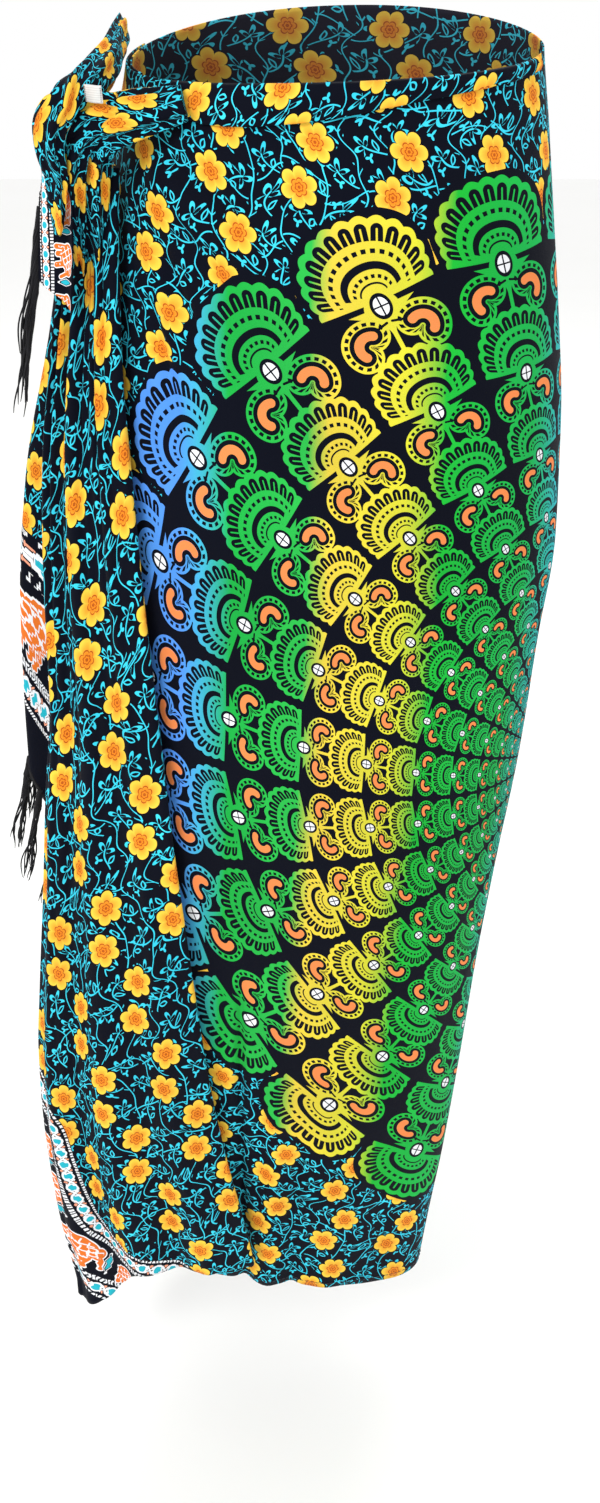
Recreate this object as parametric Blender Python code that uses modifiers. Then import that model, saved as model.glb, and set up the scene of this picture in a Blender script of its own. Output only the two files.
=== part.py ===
"""Sarong wrapped once round and knotted at one hip, as closed cloth walls.

Metres, +Z up, the front faces -Y. The origin is the middle of the waist opening.
"""
import math

import bpy
import numpy as np

# Cloth
CLOTH_THICKNESS = 0.0015      # wall of one layer
SEAM_GAP = 0.0003             # air between pieces that meet
LAYER_STEP = 0.0024           # one layer to the next where the wrap overlaps

# Wrap: one row for each level down the body,
# with x of its two sides and y of its front and back
WRAP_COLUMNS = ("z", "left", "right", "front", "back")
WRAP_LEVELS = (
    (0.020, -0.110, 0.111, -0.097, 0.083),
    (0.000, -0.111, 0.112, -0.098, 0.085),
    (-0.050, -0.121, 0.119, -0.105, 0.093),
    (-0.100, -0.133, 0.126, -0.110, 0.101),
    (-0.150, -0.141, 0.132, -0.113, 0.108),
    (-0.210, -0.147, 0.137, -0.114, 0.114),
    (-0.280, -0.149, 0.139, -0.112, 0.119),
    (-0.350, -0.149, 0.133, -0.107, 0.120),
    (-0.430, -0.149, 0.127, -0.098, 0.119),
    (-0.520, -0.150, 0.118, -0.083, 0.117),
    (-0.620, -0.152, 0.109, -0.064, 0.115),
    (-0.720, -0.153, 0.102, -0.043, 0.114),
    (-0.820, -0.153, 0.094, -0.021, 0.114),
    (-0.900, -0.152, 0.086, -0.001, 0.114),
    (-0.980, -0.151, 0.079, 0.019, 0.114),
)
WRAP_SQUARENESS = 2.12        # power of the oval, 2 is an ellipse
# Top edge and hem at the left, front, right and back
WAIST_EDGE = (-0.010, -0.012, -0.002, 0.010)
HEM_EDGE = (-0.920, -0.938, -0.958, -0.925)
WRAP_ROWS = 27
WRAP_CROWD = 0.75             # how much closer together its rows lie at the top
# Its columns: from, to (radians round the body, the ends overlap at the left), how many
WRAP_SPANS = ((-0.34, 0.30, 5), (0.30, 1.30, 17), (1.30, 3.60, 19), (3.60, 6.7032, 23))

# Drawn-in folds that run from the knot into the front
# with start and end in x and z, height out of the cloth, half width at both ends
DRAG_COLUMNS = ("x0", "z0", "x1", "z1", "height", "wide0", "wide1")
DRAG_CLEAR = 0.62             # angle at which the folds come out from under the cascade
DRAG_FOLDS = (
    (-0.104, -0.052, -0.050, -0.080, 0.0030, 0.006, 0.013),
    (-0.108, -0.062, -0.008, -0.130, 0.0034, 0.007, 0.018),
    (-0.110, -0.078, -0.074, -0.165, 0.0026, 0.007, 0.014),
)

# Waist fold: the top edge turned down over the front
FOLD_COLUMNS = ("tau", "height")
FOLD_LEVELS = (
    (0.93, 0.021),
    (1.12, 0.020),
    (1.45, 0.018),
    (1.80, 0.012),
    (2.20, 0.008),
    (2.75, 0.006),
)
FOLD_COLUMN_COUNT = 34
FOLD_ROWS = 3
FOLD_BELLY = 0.0008           # how far the turned-down layer bows out

# Cascade: one row for each level,
# with x of the fold over the wrap, its left-most point and where its end edge lies
CASCADE_COLUMNS = ("z", "fold_x", "left_x", "left_y", "tip_x", "tip_y")
CASCADE_LEVELS = (
    (-0.060, -0.118, -0.146, -0.046, -0.144, -0.036),
    (-0.110, -0.119, -0.152, -0.044, -0.150, -0.030),
    (-0.160, -0.119, -0.161, -0.041, -0.158, -0.025),
    (-0.220, -0.116, -0.171, -0.038, -0.168, -0.020),
    (-0.300, -0.112, -0.177, -0.034, -0.174, -0.017),
    (-0.390, -0.106, -0.180, -0.031, -0.177, -0.015),
    (-0.460, -0.102, -0.188, -0.028, -0.185, -0.013),
    (-0.540, -0.096, -0.196, -0.023, -0.192, -0.004),
    (-0.620, -0.090, -0.205, -0.016, -0.198, 0.014),
    (-0.690, -0.084, -0.212, -0.008, -0.202, 0.030),
    (-0.770, -0.074, -0.215, 0.004, -0.202, 0.044),
    (-0.850, -0.062, -0.212, 0.016, -0.198, 0.054),
    (-0.950, -0.051, -0.194, 0.032, -0.182, 0.066),
)
CASCADE_CLEAR = 0.0045        # hidden turned-under layer, out of the wrap
CASCADE_TURN = 0.0030         # radius of the fold over the wrap
CASCADE_UNDER = 0.012         # width of the turned-under layer
CASCADE_TOP_DROP = 0.004      # how far its top edge drops to the far side
HEM_COLUMNS = ("across", "level")
CASCADE_HEM = (
    (0.00, -0.897),
    (0.30, -0.910),
    (0.60, -0.917),
    (0.80, -0.952),
    (0.92, -0.969),
    (1.05, -0.966),
    (1.20, -0.955),
)
CASCADE_ROWS = 29
CASCADE_CROWD = 0.35
CASCADE_HOOK_COLUMNS = 6
CASCADE_FRONT_COLUMNS = 30
CASCADE_BACK_COLUMNS = 6

# Folds down the cascade: share of its width at the top, middle and hem, height out of
# the cloth at the same three places, and half width as a share
CREASE_COLUMNS = ("at_top", "at_mid", "at_hem", "up_top", "up_mid", "up_hem", "wide")
CASCADE_CREASES = (
    (0.12, 0.10, 0.12, 0.0018, 0.0046, 0.0080, 0.090),
    (0.25, 0.21, 0.24, -0.0014, -0.0034, -0.0060, 0.060),
    (0.37, 0.36, 0.38, 0.0020, 0.0060, 0.0080, 0.095),
    (0.52, 0.55, 0.53, -0.0016, -0.0056, -0.0050, 0.065),
    (0.67, 0.70, 0.70, 0.0018, 0.0046, 0.0060, 0.090),
    (0.84, 0.86, 0.86, -0.0010, -0.0026, -0.0020, 0.060),
)

# Back end flap: plan of each level, front edge and bulge; its back edge leaves the wrap
FLAP_COLUMNS = ("z", "front_x", "front_y", "bulge_x", "bulge_y")
FLAP_LEVELS = (
    (-0.070, -0.1460, -0.020, -0.1500, 0.000),
    (-0.160, -0.1580, -0.014, -0.1680, 0.004),
    (-0.250, -0.1640, -0.010, -0.1900, 0.006),
    (-0.340, -0.1670, -0.006, -0.2010, 0.008),
    (-0.430, -0.1710, -0.003, -0.2040, 0.010),
    (-0.560, -0.1740, 0.002, -0.2050, 0.012),
)
FLAP_BACK_TAU = -0.52         # place round the body where the flap leaves the wrap
FLAP_TOP = -0.074
FLAP_END = (-0.505, -0.425, -0.330)    # end edge at the front, the bulge and the back
FLAP_ROWS = 14
FLAP_COLUMN_COUNT = 14
FLAP_SWELL = 0.002            # bow between its front edge and its bulge
FLAP_TUCK = (-0.006, 0.002)   # bow between its bulge and the wrap
FLAP_LINE_STEPS = 40

# Knot tail: the corner that hangs out of the knot
TAIL_COLUMNS = ("z", "in_x", "in_y", "out_x", "out_y")
TAIL_LEVELS = (
    (-0.055, -0.1410, -0.0820, -0.1550, -0.0730),
    (-0.075, -0.1400, -0.0850, -0.1580, -0.0730),
    (-0.100, -0.1410, -0.0840, -0.1610, -0.0720),
    (-0.140, -0.1450, -0.0820, -0.1640, -0.0700),
)
TAIL_END = (-0.130, -0.114)
TAIL_ROWS = 9
TAIL_COLUMN_COUNT = 8
TAIL_WAVE = 0.0030            # height of its one soft wave

# Knot rolls: middle line, half height and half depth of the gathered cloth
ROLL_COLUMNS = ("x", "y", "z", "tall", "deep")
FRONT_ROLL = (
    (-0.0790, -0.0861, -0.0235, 0.0080, 0.0040),
    (-0.0940, -0.0845, -0.0270, 0.0100, 0.0070),
    (-0.1090, -0.0800, -0.0310, 0.0120, 0.0090),
    (-0.1220, -0.0730, -0.0370, 0.0135, 0.0105),
    (-0.1300, -0.0665, -0.0470, 0.0140, 0.0100),
    (-0.1315, -0.0640, -0.0585, 0.0145, 0.0095),
)
BACK_ROLL = (
    (-0.1190, 0.0180, 0.0004, 0.0100, 0.0036),
    (-0.1210, -0.0080, -0.0046, 0.0110, 0.0045),
    (-0.1230, -0.0350, -0.0104, 0.0115, 0.0065),
    (-0.1290, -0.0620, -0.0150, 0.0100, 0.0080),
    (-0.1390, -0.0810, -0.0220, 0.0100, 0.0080),
    (-0.1480, -0.0850, -0.0330, 0.0100, 0.0080),
    (-0.1500, -0.0820, -0.0460, 0.0105, 0.0070),
    (-0.1485, -0.0790, -0.0590, 0.0105, 0.0055),
)
ROLL_SIDES = 24
ROLL_STEPS = 16
ROLL_LOBES = 6
ROLL_LOBE_HEIGHT = 0.13       # share of the radius
ROLL_TWIST = 1.5              # turn of the lobes from end to end, in radians

# Fringe: share of a tassel's length and its width there
TASSEL_SHAPE = ((0.10, 0.8), (0.20, 1.35), (0.32, 0.85), (1.0, 0.75))
TASSEL_PITCH = 0.024
TASSEL_LENGTH = 0.062
TASSEL_HALF = 0.0022
TAIL_TASSEL_HALF = 0.0017
TAIL_TASSEL_PITCH = 0.0130
TAIL_TASSEL_LENGTH = 0.080
END_FRINGE = (-0.880, -0.575)  # levels between which the cascade's end edge has tassels
STRIP_WIDTH = 0.0045
STRIP_GAP = 0.0006            # the strip's ends tilt a little against the cloth's edge
STRIP_MARGIN = 0.004          # bare cloth at the ends of a fringe
FLAP_STRIP_MARGIN = 0.050     # the same where the flap leaves the wrap
TAIL_STRIP_MARGIN = 0.001

# Label
LABEL_SIZE = (0.012, 0.010)
LABEL_THICKNESS = 0.0010
LABEL_CENTRE = (-0.1246, -0.0900, -0.0185)
LABEL_TURN = math.radians(-38.0)
LABEL_LEAN = math.radians(28.0)
LABEL_BOW = 0.0012
LABEL_STEPS = 4


class Levels:
    """Rows of a table read smoothly at any value of the first column."""

    def __init__(self, columns, rows):
        data = np.array(rows, dtype=float)
        data = data[np.argsort(data[:, 0])]
        self.key = data[:, 0]
        self.columns = {name: data[:, k] for k, name in enumerate(columns)}
        self.slopes = {name: self._slopes(values) for name, values in self.columns.items()}

    def _slopes(self, values):
        step = np.diff(self.key)
        rise = np.diff(values) / step
        slope = np.zeros(len(values))
        slope[0], slope[-1] = rise[0], rise[-1]
        for k in range(1, len(values) - 1):
            if rise[k - 1] * rise[k] > 0.0:
                slope[k] = 2.0 * rise[k - 1] * rise[k] / (rise[k - 1] + rise[k])
        return slope

    def at(self, name, key):
        key = min(max(key, self.key[0]), self.key[-1])
        k = int(min(max(np.searchsorted(self.key, key) - 1, 0), len(self.key) - 2))
        span = self.key[k + 1] - self.key[k]
        t = (key - self.key[k]) / span
        low, high = self.columns[name][k], self.columns[name][k + 1]
        s0, s1 = self.slopes[name][k] * span, self.slopes[name][k + 1] * span
        return ((2 * t**3 - 3 * t**2 + 1) * low + (t**3 - 2 * t**2 + t) * s0
                + (3 * t**2 - 2 * t**3) * high + (t**3 - t**2) * s1)


WRAP = Levels(WRAP_COLUMNS, WRAP_LEVELS)
FOLD = Levels(FOLD_COLUMNS, FOLD_LEVELS)
CASCADE = Levels(CASCADE_COLUMNS, CASCADE_LEVELS)
HEM = Levels(HEM_COLUMNS, CASCADE_HEM)
FLAP = Levels(FLAP_COLUMNS, FLAP_LEVELS)
TAIL = Levels(TAIL_COLUMNS, TAIL_LEVELS)


def smooth(value):
    value = min(max(value, 0.0), 1.0)
    return value * value * (3.0 - 2.0 * value)


def mix(low, high, share):
    return low + (high - low) * share


def bump(distance, half_width):
    """Soft rounded ridge, 1 in the middle and 0 past twice the half width."""
    share = distance / half_width
    return math.exp(-share * share)


def around(values, tau):
    """Even change of a size round the body, from its left, front, right and back."""
    left, front, right, back = values
    mean = (left + front + right + back) / 4.0
    return (mean + (left - right) / 2.0 * math.cos(tau) + (front - back) / 2.0 * math.sin(tau)
            + (left + right - front - back) / 4.0 * math.cos(2.0 * tau))


def signed_power(value, power):
    return math.copysign(abs(value) ** power, value)


def oval(tau, z, out=0.0):
    """Point of the wrap's section at a level; tau is 0 at the left, a quarter turn at the front."""
    left, right = WRAP.at("left", z), WRAP.at("right", z)
    front, back = WRAP.at("front", z), WRAP.at("back", z)
    rx, ry = (right - left) / 2.0, (back - front) / 2.0
    c, s = math.cos(tau), math.sin(tau)
    p = 2.0 / WRAP_SQUARENESS
    nx = -signed_power(c, 2.0 - p) / rx
    ny = -signed_power(s, 2.0 - p) / ry
    size = math.hypot(nx, ny)
    return np.array((
        (left + right) / 2.0 - rx * signed_power(c, p) + out * nx / size,
        (front + back) / 2.0 - ry * signed_power(s, p) + out * ny / size,
        z,
    ))


def overlap_step(tau):
    """How far the outer layer stands off where the wrap's two ends overlap."""
    return LAYER_STEP * (1.0 - smooth((tau - DRAG_CLEAR) / 0.7))


def drag_height(x, z):
    """Height of the drawn-in folds at a place on the front."""
    height = 0.0
    for x0, z0, x1, z1, tall, wide0, wide1 in DRAG_FOLDS:
        along_x, along_z = x1 - x0, z1 - z0
        length = math.hypot(along_x, along_z)
        along = ((x - x0) * along_x + (z - z0) * along_z) / length
        across = ((x - x0) * along_z - (z - z0) * along_x) / length
        share = along / length
        if -0.1 < share < 1.25:
            fade = smooth((share + 0.1) / 0.25) * (1.0 - smooth((share - 0.55) / 0.7))
            height += tall * fade * bump(across, mix(wide0, wide1, min(max(share, 0.0), 1.0)))
    return height


def wrap_point(tau, share, out=0.0):
    """Point of the wrap from its top edge (share 0) to its hem (share 1)."""
    z = mix(around(WAIST_EDGE, tau), around(HEM_EDGE, tau), share)
    base = oval(tau, z)
    lift = overlap_step(tau)
    if 0.30 < tau < 1.9:
        lift += drag_height(base[0], z) * smooth((tau - DRAG_CLEAR) / 0.15)
    return oval(tau, z, lift + out)


def row_shares(count, crowd):
    """Shares from 0 to 1 that lie closer together at the start."""
    return [mix(k / count, (k / count) ** 1.8, crowd) for k in range(count + 1)]


def wall(name, grid, thickness, material):
    """Cloth wall: an open surface through a grid of middle points, thickened evenly."""
    columns, rows = len(grid), len(grid[0])
    points = [point for column in grid for point in column]
    faces = [(i * rows + j, (i + 1) * rows + j, (i + 1) * rows + j + 1, i * rows + j + 1)
             for i in range(columns - 1) for j in range(rows - 1)]
    piece = mesh_object(name, points, faces, material)
    thicken = piece.modifiers.new("cloth", "SOLIDIFY")
    thicken.thickness = thickness
    thicken.offset = 0.0


def mesh_object(name, points, faces, material):
    mesh = bpy.data.meshes.new(name)
    mesh.from_pydata([tuple(map(float, p)) for p in points], [], faces)
    mesh.update()
    mesh.materials.append(material)
    mesh.shade_smooth()
    piece = bpy.data.objects.new(name, mesh)
    parts.objects.link(piece)
    return piece


def solid(name, points, faces, material):
    """Closed body from its points and faces, turned so that the faces point out."""
    points = np.array(points)
    volume = sum(np.dot(points[face[0]], np.cross(points[face[k]], points[face[k + 1]]))
                 for face in faces for k in range(1, len(face) - 1))
    if volume < 0.0:
        faces = [tuple(reversed(face)) for face in faces]
    mesh_object(name, points, faces, material)


def curve_through(stops, count):
    """Even points along a smooth line through the stops."""
    stops = [np.array(s, dtype=float) for s in stops]
    ends = [2 * stops[0] - stops[1]] + stops + [2 * stops[-1] - stops[-2]]
    fine = []
    for k in range(len(stops) - 1):
        a, b, c, d = ends[k:k + 4]
        for step in range(16):
            t = step / 16.0
            fine.append(0.5 * (2 * b + (c - a) * t + (2 * a - 5 * b + 4 * c - d) * t**2
                               + (3 * b - a - 3 * c + d) * t**3))
    fine.append(stops[-1])
    fine = np.array(fine)
    run = np.concatenate(([0.0], np.cumsum(np.linalg.norm(np.diff(fine, axis=0), axis=1))))
    wanted = np.linspace(0.0, run[-1], count)
    return np.stack([np.interp(wanted, run, fine[:, k]) for k in range(fine.shape[1])], axis=1)


def wrap_columns():
    angles = []
    for start, end, count in WRAP_SPANS:
        angles += [mix(start, end, k / count) for k in range(count)]
    return angles + [WRAP_SPANS[-1][1]]


def build_wrap(material):
    shares = row_shares(WRAP_ROWS, WRAP_CROWD)
    grid = [[wrap_point(tau, share) for share in shares] for tau in wrap_columns()]
    wall("wrap", grid, CLOTH_THICKNESS, material)


def build_waist_fold(material):
    out = CLOTH_THICKNESS + SEAM_GAP * 2
    grid = []
    for tau in np.linspace(FOLD_LEVELS[0][0], FOLD_LEVELS[-1][0], FOLD_COLUMN_COUNT + 1):
        tall = FOLD.at("height", tau)
        length = around(WAIST_EDGE, tau) - around(HEM_EDGE, tau)
        column = []
        for k in range(FOLD_ROWS + 1):
            share = k / FOLD_ROWS
            belly = FOLD_BELLY * math.sin(math.pi * share)
            column.append(wrap_point(tau, tall * share / length, out + belly))
        grid.append(column)
    wall("waist_fold", grid, CLOTH_THICKNESS, material)


def crease_height(share, down):
    """Height of the cascade's folds at a share of its width and of its length."""
    total = 0.0
    for at_top, at_mid, at_hem, up_top, up_mid, up_hem, wide in CASCADE_CREASES:
        if down < 0.5:
            at = mix(at_top, at_mid, smooth(down * 2))
            up = mix(up_top, up_mid, smooth(down * 2))
        else:
            at = mix(at_mid, at_hem, smooth(down * 2 - 1))
            up = mix(up_mid, up_hem, smooth(down * 2 - 1))
        total += up * bump(share - at, wide)
    return total


def cascade_plan(z, down):
    """Plan of the cascade at a level, from its hidden turned-under edge to its end edge."""
    fold_x = CASCADE.at("fold_x", z)
    left_x, left_y = CASCADE.at("left_x", z), CASCADE.at("left_y", z)
    tip_x, tip_y = CASCADE.at("tip_x", z), CASCADE.at("tip_y", z)
    wrap_left, wrap_right = WRAP.at("left", z), WRAP.at("right", z)
    centre = (wrap_left + wrap_right) / 2.0
    plan = []
    clear = CASCADE_CLEAR + LAYER_STEP + CLOTH_THICKNESS
    low, high = 0.12, 2.2
    for _ in range(30):
        tau = (low + high) / 2.0
        if oval(tau, z, clear + CASCADE_TURN)[0] < fold_x - CASCADE_TURN * math.sin(tau):
            low = tau
        else:
            high = tau
    centre_point = oval(tau, z, clear + CASCADE_TURN)[:2]
    normal = (centre_point - oval(tau, z)[:2]) / (clear + CASCADE_TURN)
    along = np.array((-normal[1], normal[0]))
    under = CASCADE_UNDER / (wrap_right - wrap_left) * 2.0
    for k in range(2):
        plan.append(oval(tau - under * (1.0 - k / 2.0), z, clear)[:2])
    for k in range(CASCADE_HOOK_COLUMNS - 1):
        angle = math.pi * k / (CASCADE_HOOK_COLUMNS - 2)
        plan.append(centre_point - normal * CASCADE_TURN * math.cos(angle)
                    + along * CASCADE_TURN * math.sin(angle))
    start = plan[-1]
    reach = centre - left_x
    drop = (left_y - start[1]) / math.sqrt(1.0 - ((centre - start[0]) / reach) ** 2)
    tau0 = math.acos((centre - start[0]) / reach)
    for k in range(1, CASCADE_FRONT_COLUMNS + 1):
        share = k / CASCADE_FRONT_COLUMNS
        tau = mix(tau0, 0.0, share)
        point = np.array((centre - reach * math.cos(tau), left_y - drop * math.sin(tau)))
        normal = np.array((-math.cos(tau) / reach, -math.sin(tau) / drop))
        normal /= np.linalg.norm(normal)
        edge = smooth(share / 0.10) * smooth((1.0 - share) / 0.10)
        plan.append(point + normal * edge * crease_height(share, down))
    for k in range(1, CASCADE_BACK_COLUMNS + 1):
        share = k / CASCADE_BACK_COLUMNS
        plan.append(np.array((left_x + (tip_x - left_x) * share * share,
                              left_y + (tip_y - left_y) * share)))
    return plan


def build_cascade(material):
    columns = CASCADE_HOOK_COLUMNS + CASCADE_FRONT_COLUMNS + CASCADE_BACK_COLUMNS + 1
    grid = [[None] * (CASCADE_ROWS + 1) for _ in range(columns)]
    for j, down in enumerate(row_shares(CASCADE_ROWS, CASCADE_CROWD)):
        for i in range(columns):
            across = (i - CASCADE_HOOK_COLUMNS) / CASCADE_FRONT_COLUMNS
            top = FRONT_ROLL[-1][2] - 2.0 * SEAM_GAP - CASCADE_TOP_DROP * smooth(across)
            z = mix(top, HEM.at("level", across), down)
            x, y = cascade_plan(z, down)[i]
            grid[i][j] = np.array((x, y, z))
    wall("cascade", grid, CLOTH_THICKNESS, material)
    return grid


def flap_point(share, down):
    """Point of the flap, share 0 at its front edge and 1 at its back edge."""
    front, bulge, back = FLAP_END
    end = front + (bulge - front) * smooth(share * 2) + (back - bulge) * smooth(share * 2 - 1)
    z = mix(FLAP_TOP, end, down)
    f = np.array((FLAP.at("front_x", z), FLAP.at("front_y", z)))
    b = np.array((FLAP.at("bulge_x", z), FLAP.at("bulge_y", z)))
    r = oval(FLAP_BACK_TAU, z, CLOTH_THICKNESS + SEAM_GAP)[:2]
    line = curve_through((f, (f + b) / 2 - np.array((0.0, FLAP_SWELL)), b,
                          (b + r) / 2 + np.array(FLAP_TUCK), r), FLAP_LINE_STEPS + 1)
    x, y = line[int(round(share * FLAP_LINE_STEPS))]
    return np.array((x, y, z))


def build_flap(material):
    shares = [k / FLAP_COLUMN_COUNT for k in range(FLAP_COLUMN_COUNT + 1)]
    grid = [[flap_point(share, j / FLAP_ROWS) for j in range(FLAP_ROWS + 1)] for share in shares]
    wall("back_end_flap", grid, CLOTH_THICKNESS, material)
    return grid


def tail_point(share, down):
    top = BACK_ROLL[-1][2] - SEAM_GAP
    z = mix(top, mix(*TAIL_END, share), down)
    x = mix(TAIL.at("in_x", z), TAIL.at("out_x", z), share)
    y = mix(TAIL.at("in_y", z), TAIL.at("out_y", z), share)
    wave = TAIL_WAVE * math.sin(share * math.pi * 2.0) * (1.0 - 0.4 * down)
    return np.array((x + wave * 0.45, y + wave * 0.9, z))


def build_tail(material):
    grid = [[tail_point(i / TAIL_COLUMN_COUNT, j / TAIL_ROWS) for j in range(TAIL_ROWS + 1)]
            for i in range(TAIL_COLUMN_COUNT + 1)]
    wall("knot_tail", grid, CLOTH_THICKNESS, material)
    return grid


def build_roll(name, rows, phase, material):
    """Gathered cloth swept along its middle line with soft lobes, its far end cut level."""
    line = curve_through(rows, ROLL_STEPS + 1)
    points, faces = [], []
    for k, row in enumerate(line):
        ahead = line[min(k + 1, ROLL_STEPS)][:3] - line[max(k - 1, 0)][:3]
        if k == ROLL_STEPS:
            ahead = np.array((0.0, 0.0, -1.0))
        ahead /= np.linalg.norm(ahead)
        side = np.cross(ahead, np.array((row[0], row[1], 0.0)))
        side /= np.linalg.norm(side)
        out = np.cross(side, ahead)
        for s in range(ROLL_SIDES):
            angle = 2.0 * math.pi * s / ROLL_SIDES
            turn = ROLL_LOBES * angle + phase + ROLL_TWIST * k / ROLL_STEPS
            lobe = 1.0 + ROLL_LOBE_HEIGHT * math.cos(turn)
            points.append(row[:3] + side * row[3] * lobe * math.cos(angle)
                          + out * row[4] * lobe * math.sin(angle))
    for k in range(ROLL_STEPS):
        for s in range(ROLL_SIDES):
            t = (s + 1) % ROLL_SIDES
            a, b = k * ROLL_SIDES, (k + 1) * ROLL_SIDES
            faces.append((a + s, a + t, b + t, b + s))
    faces.append(tuple(reversed(range(ROLL_SIDES))))
    faces.append(tuple(ROLL_STEPS * ROLL_SIDES + s for s in range(ROLL_SIDES)))
    solid(name, points, faces, material)


def build_fringe(name, run, hang, half_width, material):
    """Narrow strip along an end edge with knotted tassels that hang from it."""
    edge, out_of_edge, normals, roots = run
    points, faces = [], []
    stations = len(edge)
    half = CLOTH_THICKNESS / 2.0

    def corner(k, row, side):
        return (k * 2 + row) * 2 + side

    for k in range(stations):
        for row in range(2):
            base = edge[k] + out_of_edge[k] * (STRIP_GAP + STRIP_WIDTH * row)
            points += [base + normals[k] * half, base - normals[k] * half]
    for k in range(stations - 1):
        faces.append((corner(k, 0, 0), corner(k, 1, 0), corner(k + 1, 1, 0), corner(k + 1, 0, 0)))
        faces.append((corner(k, 0, 1), corner(k + 1, 0, 1), corner(k + 1, 1, 1), corner(k, 1, 1)))
        faces.append((corner(k, 0, 0), corner(k + 1, 0, 0), corner(k + 1, 0, 1), corner(k, 0, 1)))
        ring = [corner(k, 1, 0), corner(k, 1, 1), corner(k + 1, 1, 1), corner(k + 1, 1, 0)]
        if k not in roots:
            faces.append(tuple(ring))
            continue
        root = sum(points[i] for i in ring) / 4.0
        along = (edge[k + 1] - edge[k]) / np.linalg.norm(edge[k + 1] - edge[k])
        for far, size in TASSEL_SHAPE:
            centre, heading = hang(root, out_of_edge[k], far, k)
            wide = along - heading * np.dot(along, heading)
            wide /= np.linalg.norm(wide)
            deep = np.cross(heading, wide)
            if np.dot(deep, normals[k]) < 0.0:
                deep = -deep
            r = half_width * size
            fresh = [len(points) + n for n in range(4)]
            points += [centre - wide * r + deep * r, centre - wide * r - deep * r,
                       centre + wide * r - deep * r, centre + wide * r + deep * r]
            for n in range(4):
                m = (n + 1) % 4
                faces.append((ring[n], ring[m], fresh[m], fresh[n]))
            ring = fresh
        faces.append(tuple(ring))
    last = stations - 1
    faces.append((corner(0, 0, 0), corner(0, 0, 1), corner(0, 1, 1), corner(0, 1, 0)))
    faces.append((corner(last, 0, 0), corner(last, 1, 0), corner(last, 1, 1),
                  corner(last, 0, 1)))
    solid(name, points, faces, material)


def settle(length, lean, drift):
    """Path of a tassel that hangs down and leans away from its edge."""
    def hang(root, out, far, k):
        level = np.array((out[0], out[1], 0.0))
        level /= max(np.linalg.norm(level), 0.2)
        heading = level * lean + np.array((0.0, 0.0, -math.sqrt(1.0 - lean * lean)))
        wander = drift * math.sin(1.7 * k) * far * far
        centre = root + heading * length * far + np.array((wander, -wander * 0.5, 0.0))
        return centre, heading / np.linalg.norm(heading)
    return hang


def edge_run(points, inward, pitch, half_width, margin, end_margin):
    """Stations along an edge, the way out of the cloth, its normal and where tassels root."""
    points, inward = np.array(points), np.array(inward)
    run = np.concatenate(([0.0], np.cumsum(np.linalg.norm(np.diff(points, axis=0), axis=1))))
    length = run[-1] - margin - end_margin
    count = max(1, int(length / pitch))
    gap = length / count
    middles = [margin + gap * (n + 0.5) for n in range(count)]
    places = [(middle - half_width, True) for middle in middles]
    places += [(middle + half_width, False) for middle in middles]
    last = run[-1] - end_margin
    for place in [margin] + [r for r in run if margin < r < last] + [last]:
        if all(abs(place - middle) > half_width + 0.0012 for middle in middles):
            places.append((place, False))
    places.sort()
    roots = {k for k, place in enumerate(places) if place[1]}
    places = [place[0] for place in places]
    edge = np.stack([np.interp(places, run, points[:, k]) for k in range(3)], axis=1)
    inner = np.stack([np.interp(places, run, inward[:, k]) for k in range(3)], axis=1)
    along = np.gradient(edge, axis=0)
    along /= np.linalg.norm(along, axis=1, keepdims=True)
    out = edge - inner
    out -= along * np.sum(out * along, axis=1, keepdims=True)
    out /= np.linalg.norm(out, axis=1, keepdims=True)
    return edge, out, np.cross(along, out), roots


def build_label(material):
    wide, tall = LABEL_SIZE
    grid = []
    ct, st = math.cos(LABEL_TURN), math.sin(LABEL_TURN)
    for i in range(LABEL_STEPS + 1):
        column = []
        for j in range(LABEL_STEPS + 1):
            u = (i / LABEL_STEPS - 0.5) * wide
            v = (0.5 - j / LABEL_STEPS) * tall
            bow = LABEL_BOW * (1.0 - (2.0 * i / LABEL_STEPS - 1.0) ** 2)
            column.append(np.array(LABEL_CENTRE) + np.array((
                u * ct, u * st - bow - v * math.sin(LABEL_LEAN), v * math.cos(LABEL_LEAN))))
        grid.append(column)
    wall("label", grid, LABEL_THICKNESS, material)


def material(name, colour, roughness):
    result = bpy.data.materials.new(name)
    result.use_nodes = True
    shader = result.node_tree.nodes["Principled BSDF"]
    shader.inputs["Base Color"].default_value = (*colour, 1.0)
    shader.inputs["Roughness"].default_value = roughness
    return result


for item in list(bpy.data.objects):
    bpy.data.objects.remove(item)
parts = bpy.data.collections.new("Sarong")
bpy.context.scene.collection.children.link(parts)

RAYON = material("printed_rayon", (0.03, 0.16, 0.17), 0.75)
YARN = material("black_yarn", (0.012, 0.012, 0.016), 0.8)
TAPE = material("label_tape", (0.85, 0.85, 0.83), 0.6)

build_wrap(RAYON)
build_waist_fold(RAYON)
cascade = build_cascade(RAYON)
flap = build_flap(RAYON)
tail = build_tail(RAYON)
build_roll("knot_front_roll", FRONT_ROLL, 0.4, RAYON)
build_roll("knot_back_roll", BACK_ROLL, 1.3, RAYON)
build_label(TAPE)

low = [k for k, point in enumerate(cascade[-1]) if END_FRINGE[0] < point[2] < END_FRINGE[1]]
run = edge_run([cascade[-1][k] for k in low], [cascade[-3][k] for k in low],
               TASSEL_PITCH, TASSEL_HALF, STRIP_MARGIN, STRIP_MARGIN)
build_fringe("front_end_fringe", run, settle(TASSEL_LENGTH, 0.52, 0.0006), TASSEL_HALF, YARN)

run = edge_run([column[-1] for column in flap], [column[-2] for column in flap],
               TASSEL_PITCH, TASSEL_HALF, STRIP_MARGIN, FLAP_STRIP_MARGIN)
build_fringe("flap_fringe", run, settle(TASSEL_LENGTH, 0.30, 0.001), TASSEL_HALF, YARN)

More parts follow.
